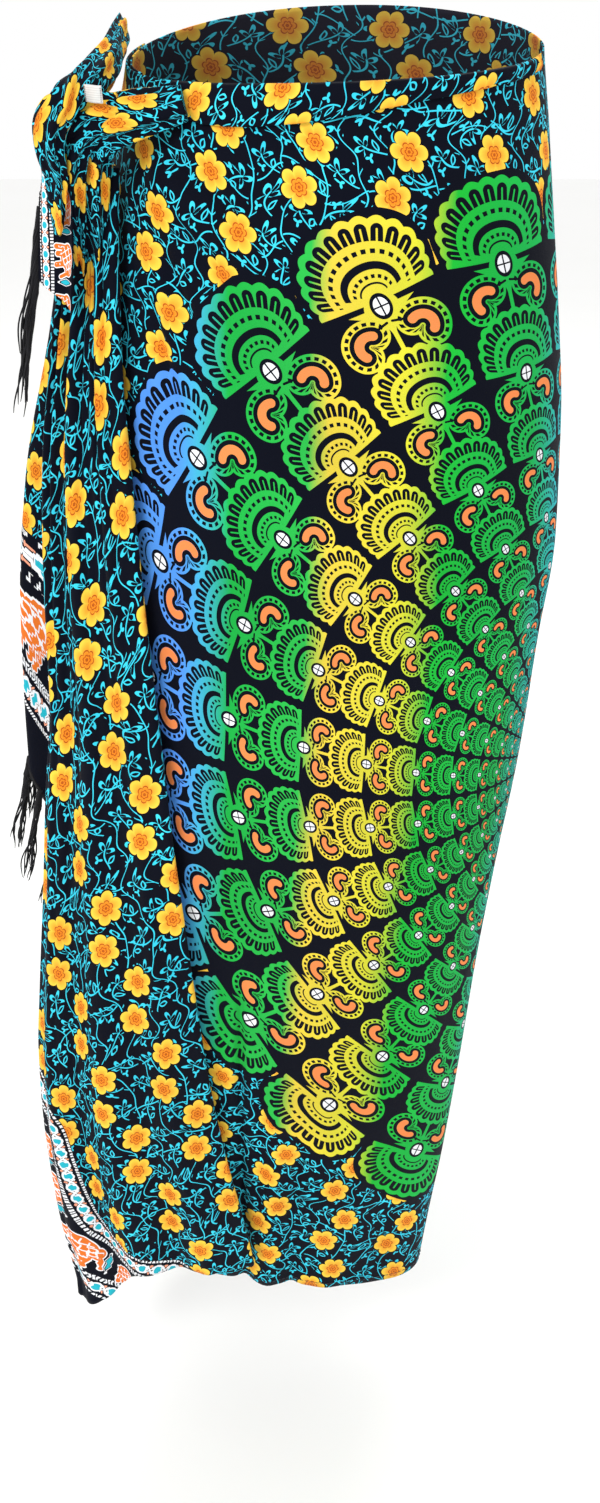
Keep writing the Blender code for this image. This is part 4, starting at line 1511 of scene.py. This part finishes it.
    def build(self, finishes: Finishes) -> np.ndarray:
        """Makes the cascade.

        Args:
            finishes: the materials.

        Returns:
            The part of its end edge where the tassels show, from top to bottom.
        """
        across, down, z = self.shares()
        points = self.point(across, down, z)
        run = path_length(points)
        start = run[self.turn_columns - 1][None, :]
        gather = 1.0 + self.gather * smooth((z - self.gather_z[0]) / self.gather_z[1])
        arc = (run - start) * gather
        height = z - self.print_z
        u, v = (way[0] * arc + way[1] * height + way[2] for way in (self.print_u, self.print_v))
        place = np.stack((u, v, np.zeros_like(u)), axis=-1)
        tip = run[-1][None, :] - run
        edge = self.border(tip, z)
        edge[..., 0] = np.where((tip < self.bare) & (z < self.bare_z), BLACK_EDGE, edge[..., 0])
        sheet = ClothSheet("cascade_cloth", points, place, edge, finishes.end,
                           finishes.end_reverse, inside_out=True)
        piece = sheet.build()
        dress(piece, Slot.RAYON, "cascade")
        LOG.info("cascade area %.3f", sheet.area())
        end = points[-1]
        return end[(end[:, 2] < self.tassel_z[1]) & (end[:, 2] > self.tassel_z[0])]


@dataclass
class BackFlap:
    """The back end of the cloth, which hangs behind the cascade with the border showing."""

    columns: int = 72
    rows: int = 110
    names: tuple[str, ...] = ("z", "front_x", "front_y", "bulge_x", "bulge_y")
    levels: tuple[tuple[float, ...], ...] = (
        (-0.070, -0.1460, -0.020, -0.1500, 0.000),
        (-0.160, -0.1580, -0.014, -0.1680, 0.004),
        (-0.250, -0.1640, -0.010, -0.1900, 0.006),
        (-0.340, -0.1670, -0.006, -0.2010, 0.008),
        (-0.430, -0.1710, -0.003, -0.2040, 0.010),
        (-0.560, -0.1740, 0.002, -0.2050, 0.012),
    )
    back_tau: float = -0.52       # where it leaves the wrap
    back_out: float = 0.0018      # out of the wrap there
    stops: int = 72               # steps of the line that a level's points are read from
    top: float = -0.074
    end: tuple[float, float, float] = (-0.505, -0.425, -0.330)   # at the front, bulge and back
    swell: float = 0.002          # forward of a straight front
    tuck: tuple[float, float] = (-0.006, 0.002)     # out of a straight back
    take_up: float = 0.56         # the border's width as it hangs, against its width laid flat
    along_shift: float = 0.023    # brings an elephant of the border to the visible bulge
    print_start: tuple[float, float] = (0.02, 0.4)
    slack: float = 1.1            # cloth across, against the width that it hangs in
    flat: tuple[float, float] = (0.125, 0.43)

    def __post_init__(self) -> None:
        """Makes the table readable at any level."""
        self.table = Levels(self.names, self.levels)

    def point(self, share: float, down: float) -> np.ndarray:
        """Point of the flap.

        Args:
            share: 0 at its front edge and 1 where it leaves the wrap.
            down: share of the length.

        Returns:
            The point's x, y and z.
        """
        front, bulge, back = self.end
        end = front + (bulge - front) * smooth(share * 2) + (back - bulge) * smooth(share * 2 - 1)
        z = mix(self.top, end, down)
        f, b = (np.array((self.table.at(side + "_x", z), self.table.at(side + "_y", z)))
                for side in ("front", "bulge"))
        r = FORM.point(self.back_tau, z, self.back_out)[:2]
        line = curve_through([f, (f + b) / 2 - np.array((0.0, self.swell)), b,
                              (b + r) / 2 + np.array(self.tuck), r], self.stops + 1)
        place = [np.interp(share * self.stops, np.arange(self.stops + 1), line[:, k])
                 for k in range(2)]
        wave = 0.0011 * math.sin(share * 15.0 + down * 2.0) * down * (1.0 - share) * 4.0 * share
        return np.array((place[0] - wave, place[1] - wave * 0.5, z))

    def build(self, finishes: Finishes) -> np.ndarray:
        """Makes the flap.

        Args:
            finishes: the materials.

        Returns:
            Its end edge, from the front to the back.
        """
        points = np.array([[self.point(i / (self.columns - 1), j / (self.rows - 1))
                            for j in range(self.rows)] for i in range(self.columns)])
        run = path_length(points)
        flat = np.stack((run, points[..., 2]), axis=-1)
        hem = flat[:, -1]
        gap = np.linalg.norm(flat[:, :, None, :] - hem[None, None, :, :], axis=-1)
        nearest = gap.argmin(axis=-1)
        edge = np.stack((gap.min(axis=-1) * self.take_up,
                         path_length(hem)[nearest] + self.along_shift), axis=-1)
        place = np.stack((run * self.slack + self.print_start[0],
                          points[..., 2] + self.print_start[1], np.zeros_like(run)), axis=-1)
        sheet = ClothSheet("back_end_flap_cloth", points, place, edge, finishes.end,
                           finishes.end_reverse, inside_out=True)
        piece = sheet.build()
        dress(piece, Slot.RAYON, "back_end_flap")
        LOG.info("flap area %.4f", sheet.area())
        return points[:, -1]


@dataclass
class KnotTail:
    """The corner of the cloth that hangs out of the knot."""

    columns: int = 40
    rows: int = 50
    names: tuple[str, ...] = ("z", "in_x", "in_y", "out_x", "out_y")
    levels: tuple[tuple[float, ...], ...] = (
        (-0.055, -0.1410, -0.0820, -0.1550, -0.0730),
        (-0.075, -0.1400, -0.0850, -0.1580, -0.0730),
        (-0.100, -0.1410, -0.0840, -0.1610, -0.0720),
        (-0.140, -0.1450, -0.0820, -0.1640, -0.0700),
    )
    top: float = -0.0593
    end: tuple[float, float] = (-0.130, -0.114)
    wave: float = 0.0030
    border_width: float = 0.066   # of the border at the tail's inner edge
    across_ease: float = 1.9      # border laid flat against the border as it hangs
    along_ease: float = 1.7
    along_shift: float = 0.011
    flat: tuple[float, float] = (0.026, 0.064)

    def build(self, finishes: Finishes) -> np.ndarray:
        """Makes the tail.

        Args:
            finishes: the materials.

        Returns:
            Its outer edge, from top to bottom.
        """
        table = Levels(self.names, self.levels)
        share, down = np.meshgrid(np.linspace(0, 1, self.columns), np.linspace(0, 1, self.rows),
                                  indexing="ij")
        z = mix(self.top, mix(*self.end, share), down)
        wave = self.wave * np.sin(share * np.pi * 2.0) * (1.0 - 0.4 * down)
        x = mix(table.at("in_x", z), table.at("out_x", z), share) + wave * 0.45
        y = mix(table.at("in_y", z), table.at("out_y", z), share) + wave * 0.9
        points = np.stack((x, y, z), axis=-1)
        run = path_length(points)
        edge = np.stack((self.border_width - run * self.across_ease,
                         -z * self.along_ease + self.along_shift), axis=-1)
        place = np.stack((run, z, np.zeros_like(z)), axis=-1)
        sheet = ClothSheet("knot_tail_cloth", points, place, edge, finishes.end,
                           finishes.end_reverse, inside_out=True)
        piece = sheet.build()
        dress(piece, Slot.RAYON, "knot_tail")
        LOG.info("tail area %.5f", sheet.area())
        return points[-1]


@dataclass
class KnotRoll:
    """Gathered cloth of the knot, swept along its middle line, with pleats along it."""

    name: str
    nodes: tuple[str, ...]        # the solids that it stands for
    rows: tuple[tuple[float, ...], ...]     # x, y, z, half width and half depth
    phase: float
    print_start: tuple[float, float]
    gather: float = 2.6           # cloth round the roll, against the girth of the roll
    slack: float = 1.2            # cloth along the roll, against its length
    sides: int = 132
    steps: int = 110
    lobes: int = 6
    lobe_height: float = 0.13
    crease_depth: float = 0.11
    crease_width: float = 0.16
    twist: float = 1.5

    def build(self, finishes: Finishes) -> None:
        """Makes the roll as a closed body.

        Args:
            finishes: the materials.
        """
        line = curve_through(list(self.rows), self.steps + 1)
        run = path_length(line[:, :3])
        angle = 2.0 * np.pi * np.arange(self.sides) / self.sides
        points, place = [], []
        for k, row in enumerate(line):
            side, out = self._frame(line, k)
            lobe = self._lobe(angle, k / self.steps)
            points.append(row[:3] + side * (row[3] * lobe * np.cos(angle))[:, None]
                          + out * (row[4] * lobe * np.sin(angle))[:, None])
            girth = 2.0 * np.pi * (row[3] + row[4]) / 2.0 * self.gather
            place.append(np.stack((self.print_start[0] + np.full(self.sides, run[k]) * self.slack,
                                   self.print_start[1] + girth * angle / (2.0 * np.pi),
                                   np.zeros(self.sides)), axis=-1))
        mesh = self._mesh(np.array(points), np.array(place))
        mesh.materials.append(finishes.end)
        dress(finished(self.name, mesh), Slot.RAYON, *self.nodes)

    def _frame(self, line: np.ndarray, k: int) -> tuple[np.ndarray, np.ndarray]:
        """Directions across the roll and out of the body at one step; its end hangs straight.

        Args:
            line: rows along the roll's middle line.
            k: number of the step.

        Returns:
            The direction across and the direction out.
        """
        ahead = line[min(k + 1, self.steps)][:3] - line[max(k - 1, 0)][:3]
        hang = smooth((k / self.steps - 0.90) / 0.10)
        ahead = ahead / np.linalg.norm(ahead)
        ahead = ahead * (1.0 - hang) + np.array((0.0, 0.0, -1.0)) * hang
        ahead /= np.linalg.norm(ahead)
        side = np.cross(ahead, np.array((line[k][0], line[k][1], 0.0)))
        side /= np.linalg.norm(side)
        return side, np.cross(side, ahead)

    def _lobe(self, angle: np.ndarray, share: float) -> np.ndarray:
        """Radius round the roll: pleats, creases between them and an end that is drawn in.

        Args:
            angle: angles round the roll.
            share: share of the roll's length.

        Returns:
            Share of the plain radius at each angle.
        """
        lobe = 1.0 + self.lobe_height * np.cos(self.lobes * angle + self.phase + self.twist * share)
        crease = (np.abs(np.sin(4.5 * angle + 2.0 * self.phase + 2.4 * share))
                  + 0.6 * np.abs(np.sin(7.5 * angle - 1.7 * share + self.phase)))
        lobe = lobe - self.crease_depth * bump(crease, self.crease_width)
        return lobe * (1.0 - 0.25 * smooth((share - 0.97) / 0.03))

    def _mesh(self, points: np.ndarray, place: np.ndarray) -> bpy.types.Mesh:
        """Joins the rings into a closed mesh whose faces point out.

        Args:
            points: rings of points, from the first to the last.
            place: place on the flat cloth of each point.

        Returns:
            The mesh, with both attributes that the print reads.
        """
        steps, sides = points.shape[:2]
        index = np.arange(steps * sides).reshape(steps, sides)
        after = np.roll(index, -1, axis=1)
        quads = np.stack((index[:-1], after[:-1], after[1:], index[1:]), axis=-1).reshape(-1, 4)
        faces = quads.tolist()
        caps = [points[0].mean(axis=0), points[-1].mean(axis=0)]
        first, last = steps * sides, steps * sides + 1
        for s in range(sides):
            t = (s + 1) % sides
            faces.append((first, int(index[0, t]), int(index[0, s])))
            faces.append((last, int(index[-1, s]), int(index[-1, t])))
        flat = points.reshape(-1, 3)
        everything = np.concatenate((flat, np.array(caps)))
        mesh = bpy.data.meshes.new(self.name)
        a, b, c = (everything[[face[k] for face in faces]] for k in (0, 1, 2))
        if np.einsum("ij,ij->i", a, np.cross(b, c)).sum() < 0.0:
            faces = [tuple(reversed(face)) for face in faces]
        mesh.from_pydata(everything.tolist(), [], faces)
        values = np.concatenate((place.reshape(-1, 3), place[0, :1], place[-1, :1]))
        store(mesh, "place", values)
        store(mesh, "edge", np.full_like(values, FAR_FROM_END))
        mesh.shade_smooth()
        mesh.update()
        return mesh


def new_group(name: str, *labels: str) -> tuple[bpy.types.NodeTree, bpy.types.Node, list[str]]:
    """Starts a Geometry Nodes group.

    Args:
        name: the group's name.
        labels: names of its number inputs.

    Returns:
        The group, its input node and the identifiers of the number inputs.
    """
    group = bpy.data.node_groups.new(name, "GeometryNodeTree")
    face = group.interface
    face.new_socket("Geometry", in_out="INPUT", socket_type="NodeSocketGeometry")
    keys = [face.new_socket(label, in_out="INPUT", socket_type="NodeSocketFloat").identifier
            for label in labels]
    face.new_socket("Geometry", in_out="OUTPUT", socket_type="NodeSocketGeometry")
    return group, add_node(group, "NodeGroupInput"), keys


def end_group(group: bpy.types.NodeTree, shape: object, material: bpy.types.Material) -> None:
    """Realizes, paints and hands out what a group made.

    Args:
        group: the Geometry Nodes group.
        shape: socket of what it made.
        material: what that is made of.
    """
    real = add_node(group, "GeometryNodeRealizeInstances", {0: shape})
    paint = add_node(group, "GeometryNodeSetMaterial", {"Geometry": real.outputs[0]},
                     {"Material": material})
    add_node(group, "NodeGroupOutput", {0: paint.outputs[0]})


def grown(name: str, group: bpy.types.NodeTree, draft_mesh: bpy.types.Mesh,
          inputs: dict[str, float]) -> bpy.types.Object:
    """Runs a group on a draft and keeps what it makes.

    Args:
        name: the piece's name.
        group: the Geometry Nodes group.
        draft_mesh: the mesh that it starts from.
        inputs: value of each number input by identifier.

    Returns:
        The finished piece.
    """
    draft = placed(name + "_draft", draft_mesh)
    work = draft.modifiers.new("grow", "NODES")
    work.node_group = group
    for key, value in inputs.items():
        work[key] = value
    graph = bpy.context.evaluated_depsgraph_get()
    mesh = bpy.data.meshes.new_from_object(draft.evaluated_get(graph))
    bpy.data.objects.remove(draft)
    mesh.shade_smooth()
    return finished(name, mesh)


class YarnTree:
    """Geometry Nodes that turn drawn lines into round yarn."""

    def __init__(self, material: bpy.types.Material, sides: int = 5) -> None:
        """Builds the tree.

        Args:
            material: what the yarn is made of.
            sides: sides of the yarn's section.
        """
        tree, start, (self.radius,) = new_group("yarn_from_lines", "Yarn radius")
        self.group = tree
        lines = add_node(tree, "GeometryNodeMeshToCurve", {"Mesh": start.outputs["Geometry"]})
        taper = add_node(tree, "GeometryNodeInputNamedAttribute", None, {"Name": "taper"},
                         data_type="FLOAT")
        ring = add_node(tree, "GeometryNodeCurvePrimitiveCircle",
                        {"Radius": start.outputs["Yarn radius"]}, {"Resolution": sides},
                        mode="RADIUS")
        tube = add_node(tree, "GeometryNodeCurveToMesh",
                        {"Curve": lines.outputs[0], "Profile Curve": ring.outputs["Curve"],
                         "Scale": taper.outputs["Attribute"]}, {"Fill Caps": True})
        end_group(tree, tube.outputs[0], material)

    def spin(self, name: str, lines: list[np.ndarray], radius: float,
             tapers: list[np.ndarray]) -> bpy.types.Object:
        """Spins yarn along lines.

        Args:
            name: the piece's name.
            lines: one array of points for each yarn.
            radius: the yarn's radius at taper 1.
            tapers: share of the radius at each point of each yarn.

        Returns:
            The finished piece.
        """
        edges, first = [], 0
        for line in lines:
            edges += [(first + k, first + k + 1) for k in range(len(line) - 1)]
            first += len(line)
        mesh = bpy.data.meshes.new(name + "_lines")
        mesh.from_pydata(np.concatenate(lines).tolist(), edges, [])
        store(mesh, "taper", np.concatenate(tapers))
        return grown(name, self.group, mesh, {self.radius: radius})


@dataclass
class Fringe:
    """Knotted tassels of twisted yarn along an end edge."""

    name: str
    node: str
    edge: np.ndarray
    lean: float
    length: float = 0.062
    pitch: float = 0.024          # from one tassel to the next
    yarns: int = 14               # in each tassel
    yarn: float = 0.00062         # radius of one
    spread: float = 0.0030        # half width of a tassel
    start: float = 0.004          # bare edge before the first tassel
    finish: float = 0.004         # bare edge after the last
    knot_at: float = 0.20         # share of the length
    loose_from: float = 0.30      # share where the yarns part
    splay: tuple[float, float] = (0.0042, 0.0034)   # how far the loose bundles part
    curl: tuple[float, float] = (0.0011, 0.0009)    # how far a loose yarn wavers
    steps: int = 24
    seed: int = 3

    def roots(self) -> np.ndarray:
        """Evenly spaced roots of the tassels along the edge.

        Returns:
            One point for each tassel.
        """
        free = path_length(self.edge)[-1] - self.start - self.finish
        count = max(1, int(free / self.pitch))
        return on_line(self.edge, self.start + free / count * (np.arange(count) + 0.5))

    def lines(self, way: np.ndarray) -> tuple[list[np.ndarray], list[np.ndarray]]:
        """Paths of every yarn: a twisted neck, a knot, then two or three loose ends.

        Args:
            way: level direction that the tassels lean to, of length 1.

        Returns:
            The points of each yarn and the share of its radius at each.
        """
        chance = random.Random(self.seed)
        paths, tapers = [], []
        heading = way * self.lean + np.array((0.0, 0.0, -math.sqrt(1.0 - self.lean**2)))
        side = np.cross(heading, way)
        side /= np.linalg.norm(side)
        deep = np.cross(heading, side)
        for root in self.roots():
            bundles = [chance.uniform(-0.5, 0.5) + 2.1 * n for n in range(3)]
            for yarn in range(self.yarns):
                bundle = bundles[yarn % 3]
                phase = 2.0 * math.pi * yarn / self.yarns
                reach = self.length * chance.uniform(0.86, 1.0)
                sway, start = chance.uniform(0.6, 1.0), chance.uniform(0.0, 6.0)
                path = []
                for t in np.arange(self.steps + 1) / self.steps:
                    knot = 1.0 + 0.45 * math.exp(-((t - self.knot_at) / 0.05) ** 2)
                    neck = self.spread * 0.55 * knot
                    loose = float(smooth((t - self.loose_from) / 0.5))
                    twist = phase + 9.0 * t
                    wide = neck * math.cos(twist) * (1.0 - 0.55 * loose)
                    thick = neck * math.sin(twist) * (1.0 - 0.55 * loose)
                    wide += loose * sway * self.splay[0] * math.cos(bundle)
                    thick += loose * sway * self.splay[1] * math.sin(bundle)
                    wide += loose * self.curl[0] * math.sin(11.0 * t + start)
                    thick += loose * self.curl[1] * math.cos(9.0 * t + start)
                    path.append(root + heading * reach * (t + 0.004) + side * wide + deep * thick)
                paths.append(np.array(path))
                tapers.append(np.interp(np.linspace(0, 1, self.steps + 1), [0, 0.05, 0.9, 1.0],
                                        [0.9, 1.0, 0.8, 0.35]))
        return paths, tapers

    def build(self, tree: YarnTree, outward: tuple[float, float, float]) -> None:
        """Spins the fringe and the twisted line that it hangs from.

        Args:
            tree: the yarn's Geometry Nodes.
            outward: level direction that the tassels lean to.
        """
        way = np.array(outward) / np.linalg.norm(outward)
        paths, tapers = self.lines(way)
        last = path_length(self.edge)[-1] - self.finish * 0.6
        for lane in range(4):
            root = on_line(self.edge, np.linspace(self.start * 0.5, last, 60))
            wobble = 0.0003 * np.sin(np.arange(60) * 1.9 + lane * 1.3)
            root[:, 2] -= 0.0006 + lane * 0.0010
            root[:, :2] += way[:2] * wobble[:, None]
            paths.append(root)
            tapers.append(np.full(60, 1.5))
        dress(tree.spin(self.name, paths, self.yarn, tapers), Slot.YARN, self.node)


class StitchTree:
    """Geometry Nodes that lay one stitch on each drawn point."""

    def __init__(self, material: bpy.types.Material) -> None:
        """Builds the tree, with the stitch's length and thickness as its inputs.

        Args:
            material: what the thread is made of.
        """
        tree, start, (self.length, self.radius) = new_group("stitches_on_points", "Stitch length",
                                                            "Thread radius")
        self.group = tree
        stitch = add_node(tree, "GeometryNodeMeshUVSphere", {"Radius": start.outputs[2]},
                          {"Segments": 6, "Rings": 4})
        ratio = add_node(tree, "ShaderNodeMath", {0: start.outputs[1], 1: start.outputs[2]},
                         operation="DIVIDE")
        half = add_node(tree, "ShaderNodeMath", {0: ratio.outputs[0]}, {1: 0.5},
                        operation="MULTIPLY")
        size = add_node(tree, "ShaderNodeCombineXYZ", {2: half.outputs[0]}, {0: 1.0, 1: 1.0})
        long = add_node(tree, "GeometryNodeTransform",
                        {"Geometry": stitch.outputs[0], "Scale": size.outputs[0]})
        way = add_node(tree, "GeometryNodeInputNamedAttribute", None, {"Name": "way"},
                       data_type="FLOAT_VECTOR")
        turn = add_node(tree, "FunctionNodeAlignRotationToVector",
                        {"Vector": way.outputs["Attribute"]}, None, axis="Z")
        points = add_node(tree, "GeometryNodeMeshToPoints", {"Mesh": start.outputs[0]})
        laid = add_node(tree, "GeometryNodeInstanceOnPoints",
                        {"Points": points.outputs[0], "Instance": long.outputs[0],
                         "Rotation": turn.outputs[0]})
        end_group(tree, laid.outputs[0], material)

    def sew(self, name: str, places: np.ndarray, ways: np.ndarray, length: float,
            radius: float) -> bpy.types.Object:
        """Sews stitches.

        Args:
            name: the piece's name.
            places: middle of each stitch.
            ways: direction of each stitch.
            length: length of a stitch.
            radius: radius of the thread.

        Returns:
            The finished piece.
        """
        mesh = bpy.data.meshes.new(name + "_points")
        mesh.from_pydata(places.tolist(), [], [])
        store(mesh, "way", ways)
        return grown(name, self.group, mesh, {self.length: length, self.radius: radius})


@dataclass
class Hems:
    """Rows of lockstitch that hold the narrow hems of the wrap and the cascade."""

    pitch: float = 0.0042         # from one stitch to the next
    length: float = 0.0030        # of a stitch
    radius: float = 0.00028       # of the thread
    inset: float = 0.006          # above the edge
    stand: float = 0.0006         # out of the cloth's middle

    def along(self, line: np.ndarray) -> tuple[np.ndarray, np.ndarray]:
        """Even places along a line and its direction there.

        Args:
            line: points of the line.

        Returns:
            The places and the directions.
        """
        places = np.arange(self.pitch, path_length(line)[-1] - self.pitch, self.pitch)
        at = on_line(line, places)
        way = on_line(line, places + 0.001) - at
        return at, way / np.linalg.norm(way, axis=1, keepdims=True)

    def build(self, tree: StitchTree, wrap: Wrap, cascade: Cascade) -> None:
        """Sews both hems.

        Args:
            tree: the stitches' Geometry Nodes.
            wrap: the wrap, whose lower edge is followed.
            cascade: the cascade, whose lower edge is followed.
        """
        tau = np.linspace(0.9, 6.2, 700)
        z = around(wrap.hem, tau) + self.inset
        rows = [self.along(wrap.point(tau, z, self.stand))]
        across = np.linspace(0.02, 1.18, 500)
        top, level = cascade.limits(across)
        down = (level + self.inset - top) / (level - top)
        line = cascade.point(across[:, None], down[:, None], (level + self.inset)[:, None])[:, 0]
        ahead = np.gradient(line, axis=0)
        out = np.cross(np.array((0.0, 0.0, -1.0)), ahead)
        out /= np.linalg.norm(out, axis=1, keepdims=True)
        rows.append(self.along(line + out * self.stand))
        places, ways = (np.concatenate(both) for both in zip(*rows))
        dress(tree.sew("hem_stitches", places, ways, self.length, self.radius), Slot.RAYON)


@dataclass
class Label:
    """Bare white tape sewn on the back roll of the knot."""

    size: tuple[float, float] = (0.012, 0.010)
    centre: tuple[float, float, float] = (-0.1246, -0.0900, -0.0185)
    turn: float = math.radians(-38.0)     # about the upright
    lean: float = math.radians(28.0)      # back from the upright
    bow: float = 0.0012           # how far its middle stands out
    steps: int = 16
    thickness: float = 0.0006
    stitch: float = 0.0011        # length of a stitch
    thread: float = 0.00014       # radius of the thread

    def build(self, finishes: Finishes, tree: StitchTree) -> None:
        """Makes the tape and the stitches at its two ends.

        Args:
            finishes: the materials.
            tree: the stitches' Geometry Nodes.
        """
        shares = np.arange(self.steps + 1) / self.steps
        i, j = np.meshgrid(shares, shares, indexing="ij")
        u, v = (i - 0.5) * self.size[0], (0.5 - j) * self.size[1]
        bow = self.bow * (1.0 - (2.0 * i - 1.0) ** 2) + 0.0003 * np.sin(i * 9.0 + j * 4.0)
        points = np.stack((
            self.centre[0] + u * math.cos(self.turn),
            self.centre[1] + u * math.sin(self.turn) - bow - v * math.sin(self.lean),
            self.centre[2] + v * math.cos(self.lean)), axis=-1)
        sheet = ClothSheet("label_tape", points, np.stack((u, v, u), axis=-1),
                           face=finishes.tape, thickness=self.thickness)
        piece = sheet.build()
        dress(piece, Slot.TAPE, "label")
        out = sheet.normals()
        rows = [points[k, 2:-2] + out[k, 2:-2] * 0.0005 for k in (1, -2)]
        places = np.concatenate([row[::2] for row in rows])
        ways = np.concatenate([np.gradient(row, axis=0)[::2] for row in rows])
        ways /= np.linalg.norm(ways, axis=1, keepdims=True)
        dress(tree.sew("label_stitches", places, ways, self.stitch, self.thread), Slot.RAYON)


@dataclass
class Studio:
    """Camera, floor and soft light."""

    camera_place: tuple[float, float, float] = (-0.02, -1.0, 0.088)
    look_down: float = 28.0
    focal_pixels: float = 1685.0
    photo_height: float = 1503.0
    sensor: float = 36.0          # mm, the camera's usual one
    floor_z: float = -1.051
    floor_half: float = 6.0
    aim: tuple[float, float, float] = (-0.03, 0.0, -0.5)

    def build(self) -> None:
        """Sets up the stage."""
        data = bpy.data.cameras.new("camera")
        data.lens = self.focal_pixels / self.photo_height * self.sensor
        data.sensor_width = self.sensor
        camera = placed("camera", data)
        camera.location = self.camera_place
        camera.rotation_euler = (math.radians(90.0 - self.look_down), 0.0, 0.0)
        bpy.context.scene.camera = camera
        self._floor()
        self._lamp("key", (-1.6, -1.9, 1.4), 0.9, 34.0)
        self._lamp("fill", (1.9, -1.8, 0.7), 2.0, 6.0)
        self._lamp("back", (0.4, 2.2, 1.4), 1.8, 20.0)
        bpy.context.scene.view_settings.view_transform = "Standard"
        world = bpy.data.worlds.new("white_room")
        bpy.context.scene.world = world
        world.use_nodes = True
        sky = world.node_tree.nodes["Background"]
        sky.inputs["Color"].default_value = Hex("#ffffff").linear()
        sky.inputs["Strength"].default_value = 1.0

    def _floor(self) -> None:
        """Lays the plain floor."""
        mesh = bpy.data.meshes.new("floor")
        half, z = self.floor_half, self.floor_z
        mesh.from_pydata([(-half, -half, z), (half, -half, z), (half, half, z), (-half, half, z)],
                         [], [(0, 1, 2, 3)])
        mesh.materials.append(PaleFloor().build())
        floor = placed("floor", mesh)

    def _lamp(self, name: str, place: tuple[float, float, float], size: float,
              watts: float) -> None:
        """Hangs a soft square lamp that faces the garment's middle.

        Args:
            name: the lamp's name.
            place: where it hangs.
            size: length of its side.
            watts: its power.
        """
        data = bpy.data.lights.new(name, "AREA")
        data.energy = watts
        data.size = size
        lamp = placed(name, data)
        lamp.location = place
        x, y, z = (aim - from_here for aim, from_here in zip(self.aim, place))
        lamp.rotation_euler = (math.atan2(math.hypot(x, y), -z), 0.0,
                               math.atan2(y, x) - math.pi / 2.0)


CORE_ROLL = (
    (-0.1120, -0.0800, -0.0270, 0.0080, 0.0060),
    (-0.1260, -0.0780, -0.0310, 0.0110, 0.0070),
    (-0.1380, -0.0740, -0.0430, 0.0125, 0.0080),
    (-0.1420, -0.0680, -0.0620, 0.0130, 0.0080),
    (-0.1425, -0.0610, -0.0900, 0.0125, 0.0060),
    (-0.1440, -0.0540, -0.1250, 0.0110, 0.0015),
)
FRONT_ROLL = (
    (-0.0790, -0.0861, -0.0235, 0.0080, 0.0040),
    (-0.0940, -0.0845, -0.0270, 0.0100, 0.0070),
    (-0.1090, -0.0800, -0.0310, 0.0120, 0.0090),
    (-0.1220, -0.0730, -0.0370, 0.0135, 0.0105),
    (-0.1300, -0.0665, -0.0470, 0.0140, 0.0100),
    (-0.1315, -0.0640, -0.0585, 0.0145, 0.0095),
    (-0.1325, -0.0625, -0.0780, 0.0150, 0.0075),
    (-0.1340, -0.0590, -0.1050, 0.0150, 0.0045),
    (-0.1350, -0.0545, -0.1350, 0.0145, 0.0012),
)
BACK_ROLL = (
    (-0.1190, 0.0180, 0.0004, 0.0100, 0.0036),
    (-0.1210, -0.0080, -0.0046, 0.0110, 0.0045),
    (-0.1230, -0.0350, -0.0104, 0.0115, 0.0065),
    (-0.1290, -0.0620, -0.0150, 0.0100, 0.0080),
    (-0.1390, -0.0810, -0.0220, 0.0100, 0.0080),
    (-0.1480, -0.0850, -0.0330, 0.0100, 0.0080),
    (-0.1500, -0.0820, -0.0460, 0.0105, 0.0070),
    (-0.1485, -0.0790, -0.0590, 0.0105, 0.0055),
    (-0.1490, -0.0785, -0.0740, 0.0100, 0.0036),
    (-0.1500, -0.0785, -0.0900, 0.0090, 0.0010),
)


def main() -> None:
    """Builds the sarong's pieces in order, then the stage."""
    logging.basicConfig(level=logging.INFO, format="%(name)s: %(message)s")
    Studio().build()
    finishes = Finishes()
    LOG.info("stage and finishes are ready")
    wrap, cascade = Wrap(), Cascade()
    wrap.build(finishes)
    WaistFold().build(wrap, finishes)
    cascade_edge = cascade.build(finishes)
    flap_edge = BackFlap().build(finishes)
    tail_edge = KnotTail().build(finishes)
    rolls = (
        KnotRoll("knot_front_roll_cloth", ("knot_front_roll",), FRONT_ROLL, 0.4, (0.02, 0.01)),
        KnotRoll("knot_back_roll_cloth", ("knot_back_roll",), BACK_ROLL, 1.3, (0.035, 0.02)),
        KnotRoll("knot_core_cloth", (), CORE_ROLL, 2.6, (0.05, 0.03)),
    )
    for roll in rolls:
        roll.build(finishes)
    yarn = YarnTree(finishes.yarn)
    Fringe("front_end_fringe_yarn", "front_end_fringe", cascade_edge, 0.52,
           seed=3).build(yarn, (-0.25, 1.0, 0.0))
    Fringe("flap_fringe_yarn", "flap_fringe", flap_edge, 0.22, length=0.078, finish=0.050,
           seed=5).build(yarn, (-1.0, 0.35, 0.0))
    Fringe("tail_fringe_yarn", "tail_fringe", tail_edge[8:], 0.19, length=0.088, pitch=0.013,
           yarns=9, spread=0.0022, start=0.001, finish=0.001,
           seed=8).build(yarn, (-1.0, 0.25, 0.0))
    stitches = StitchTree(finishes.thread)
    Hems().build(stitches, wrap, cascade)
    Label().build(finishes, stitches)


if __name__ == "__main__":
    main()
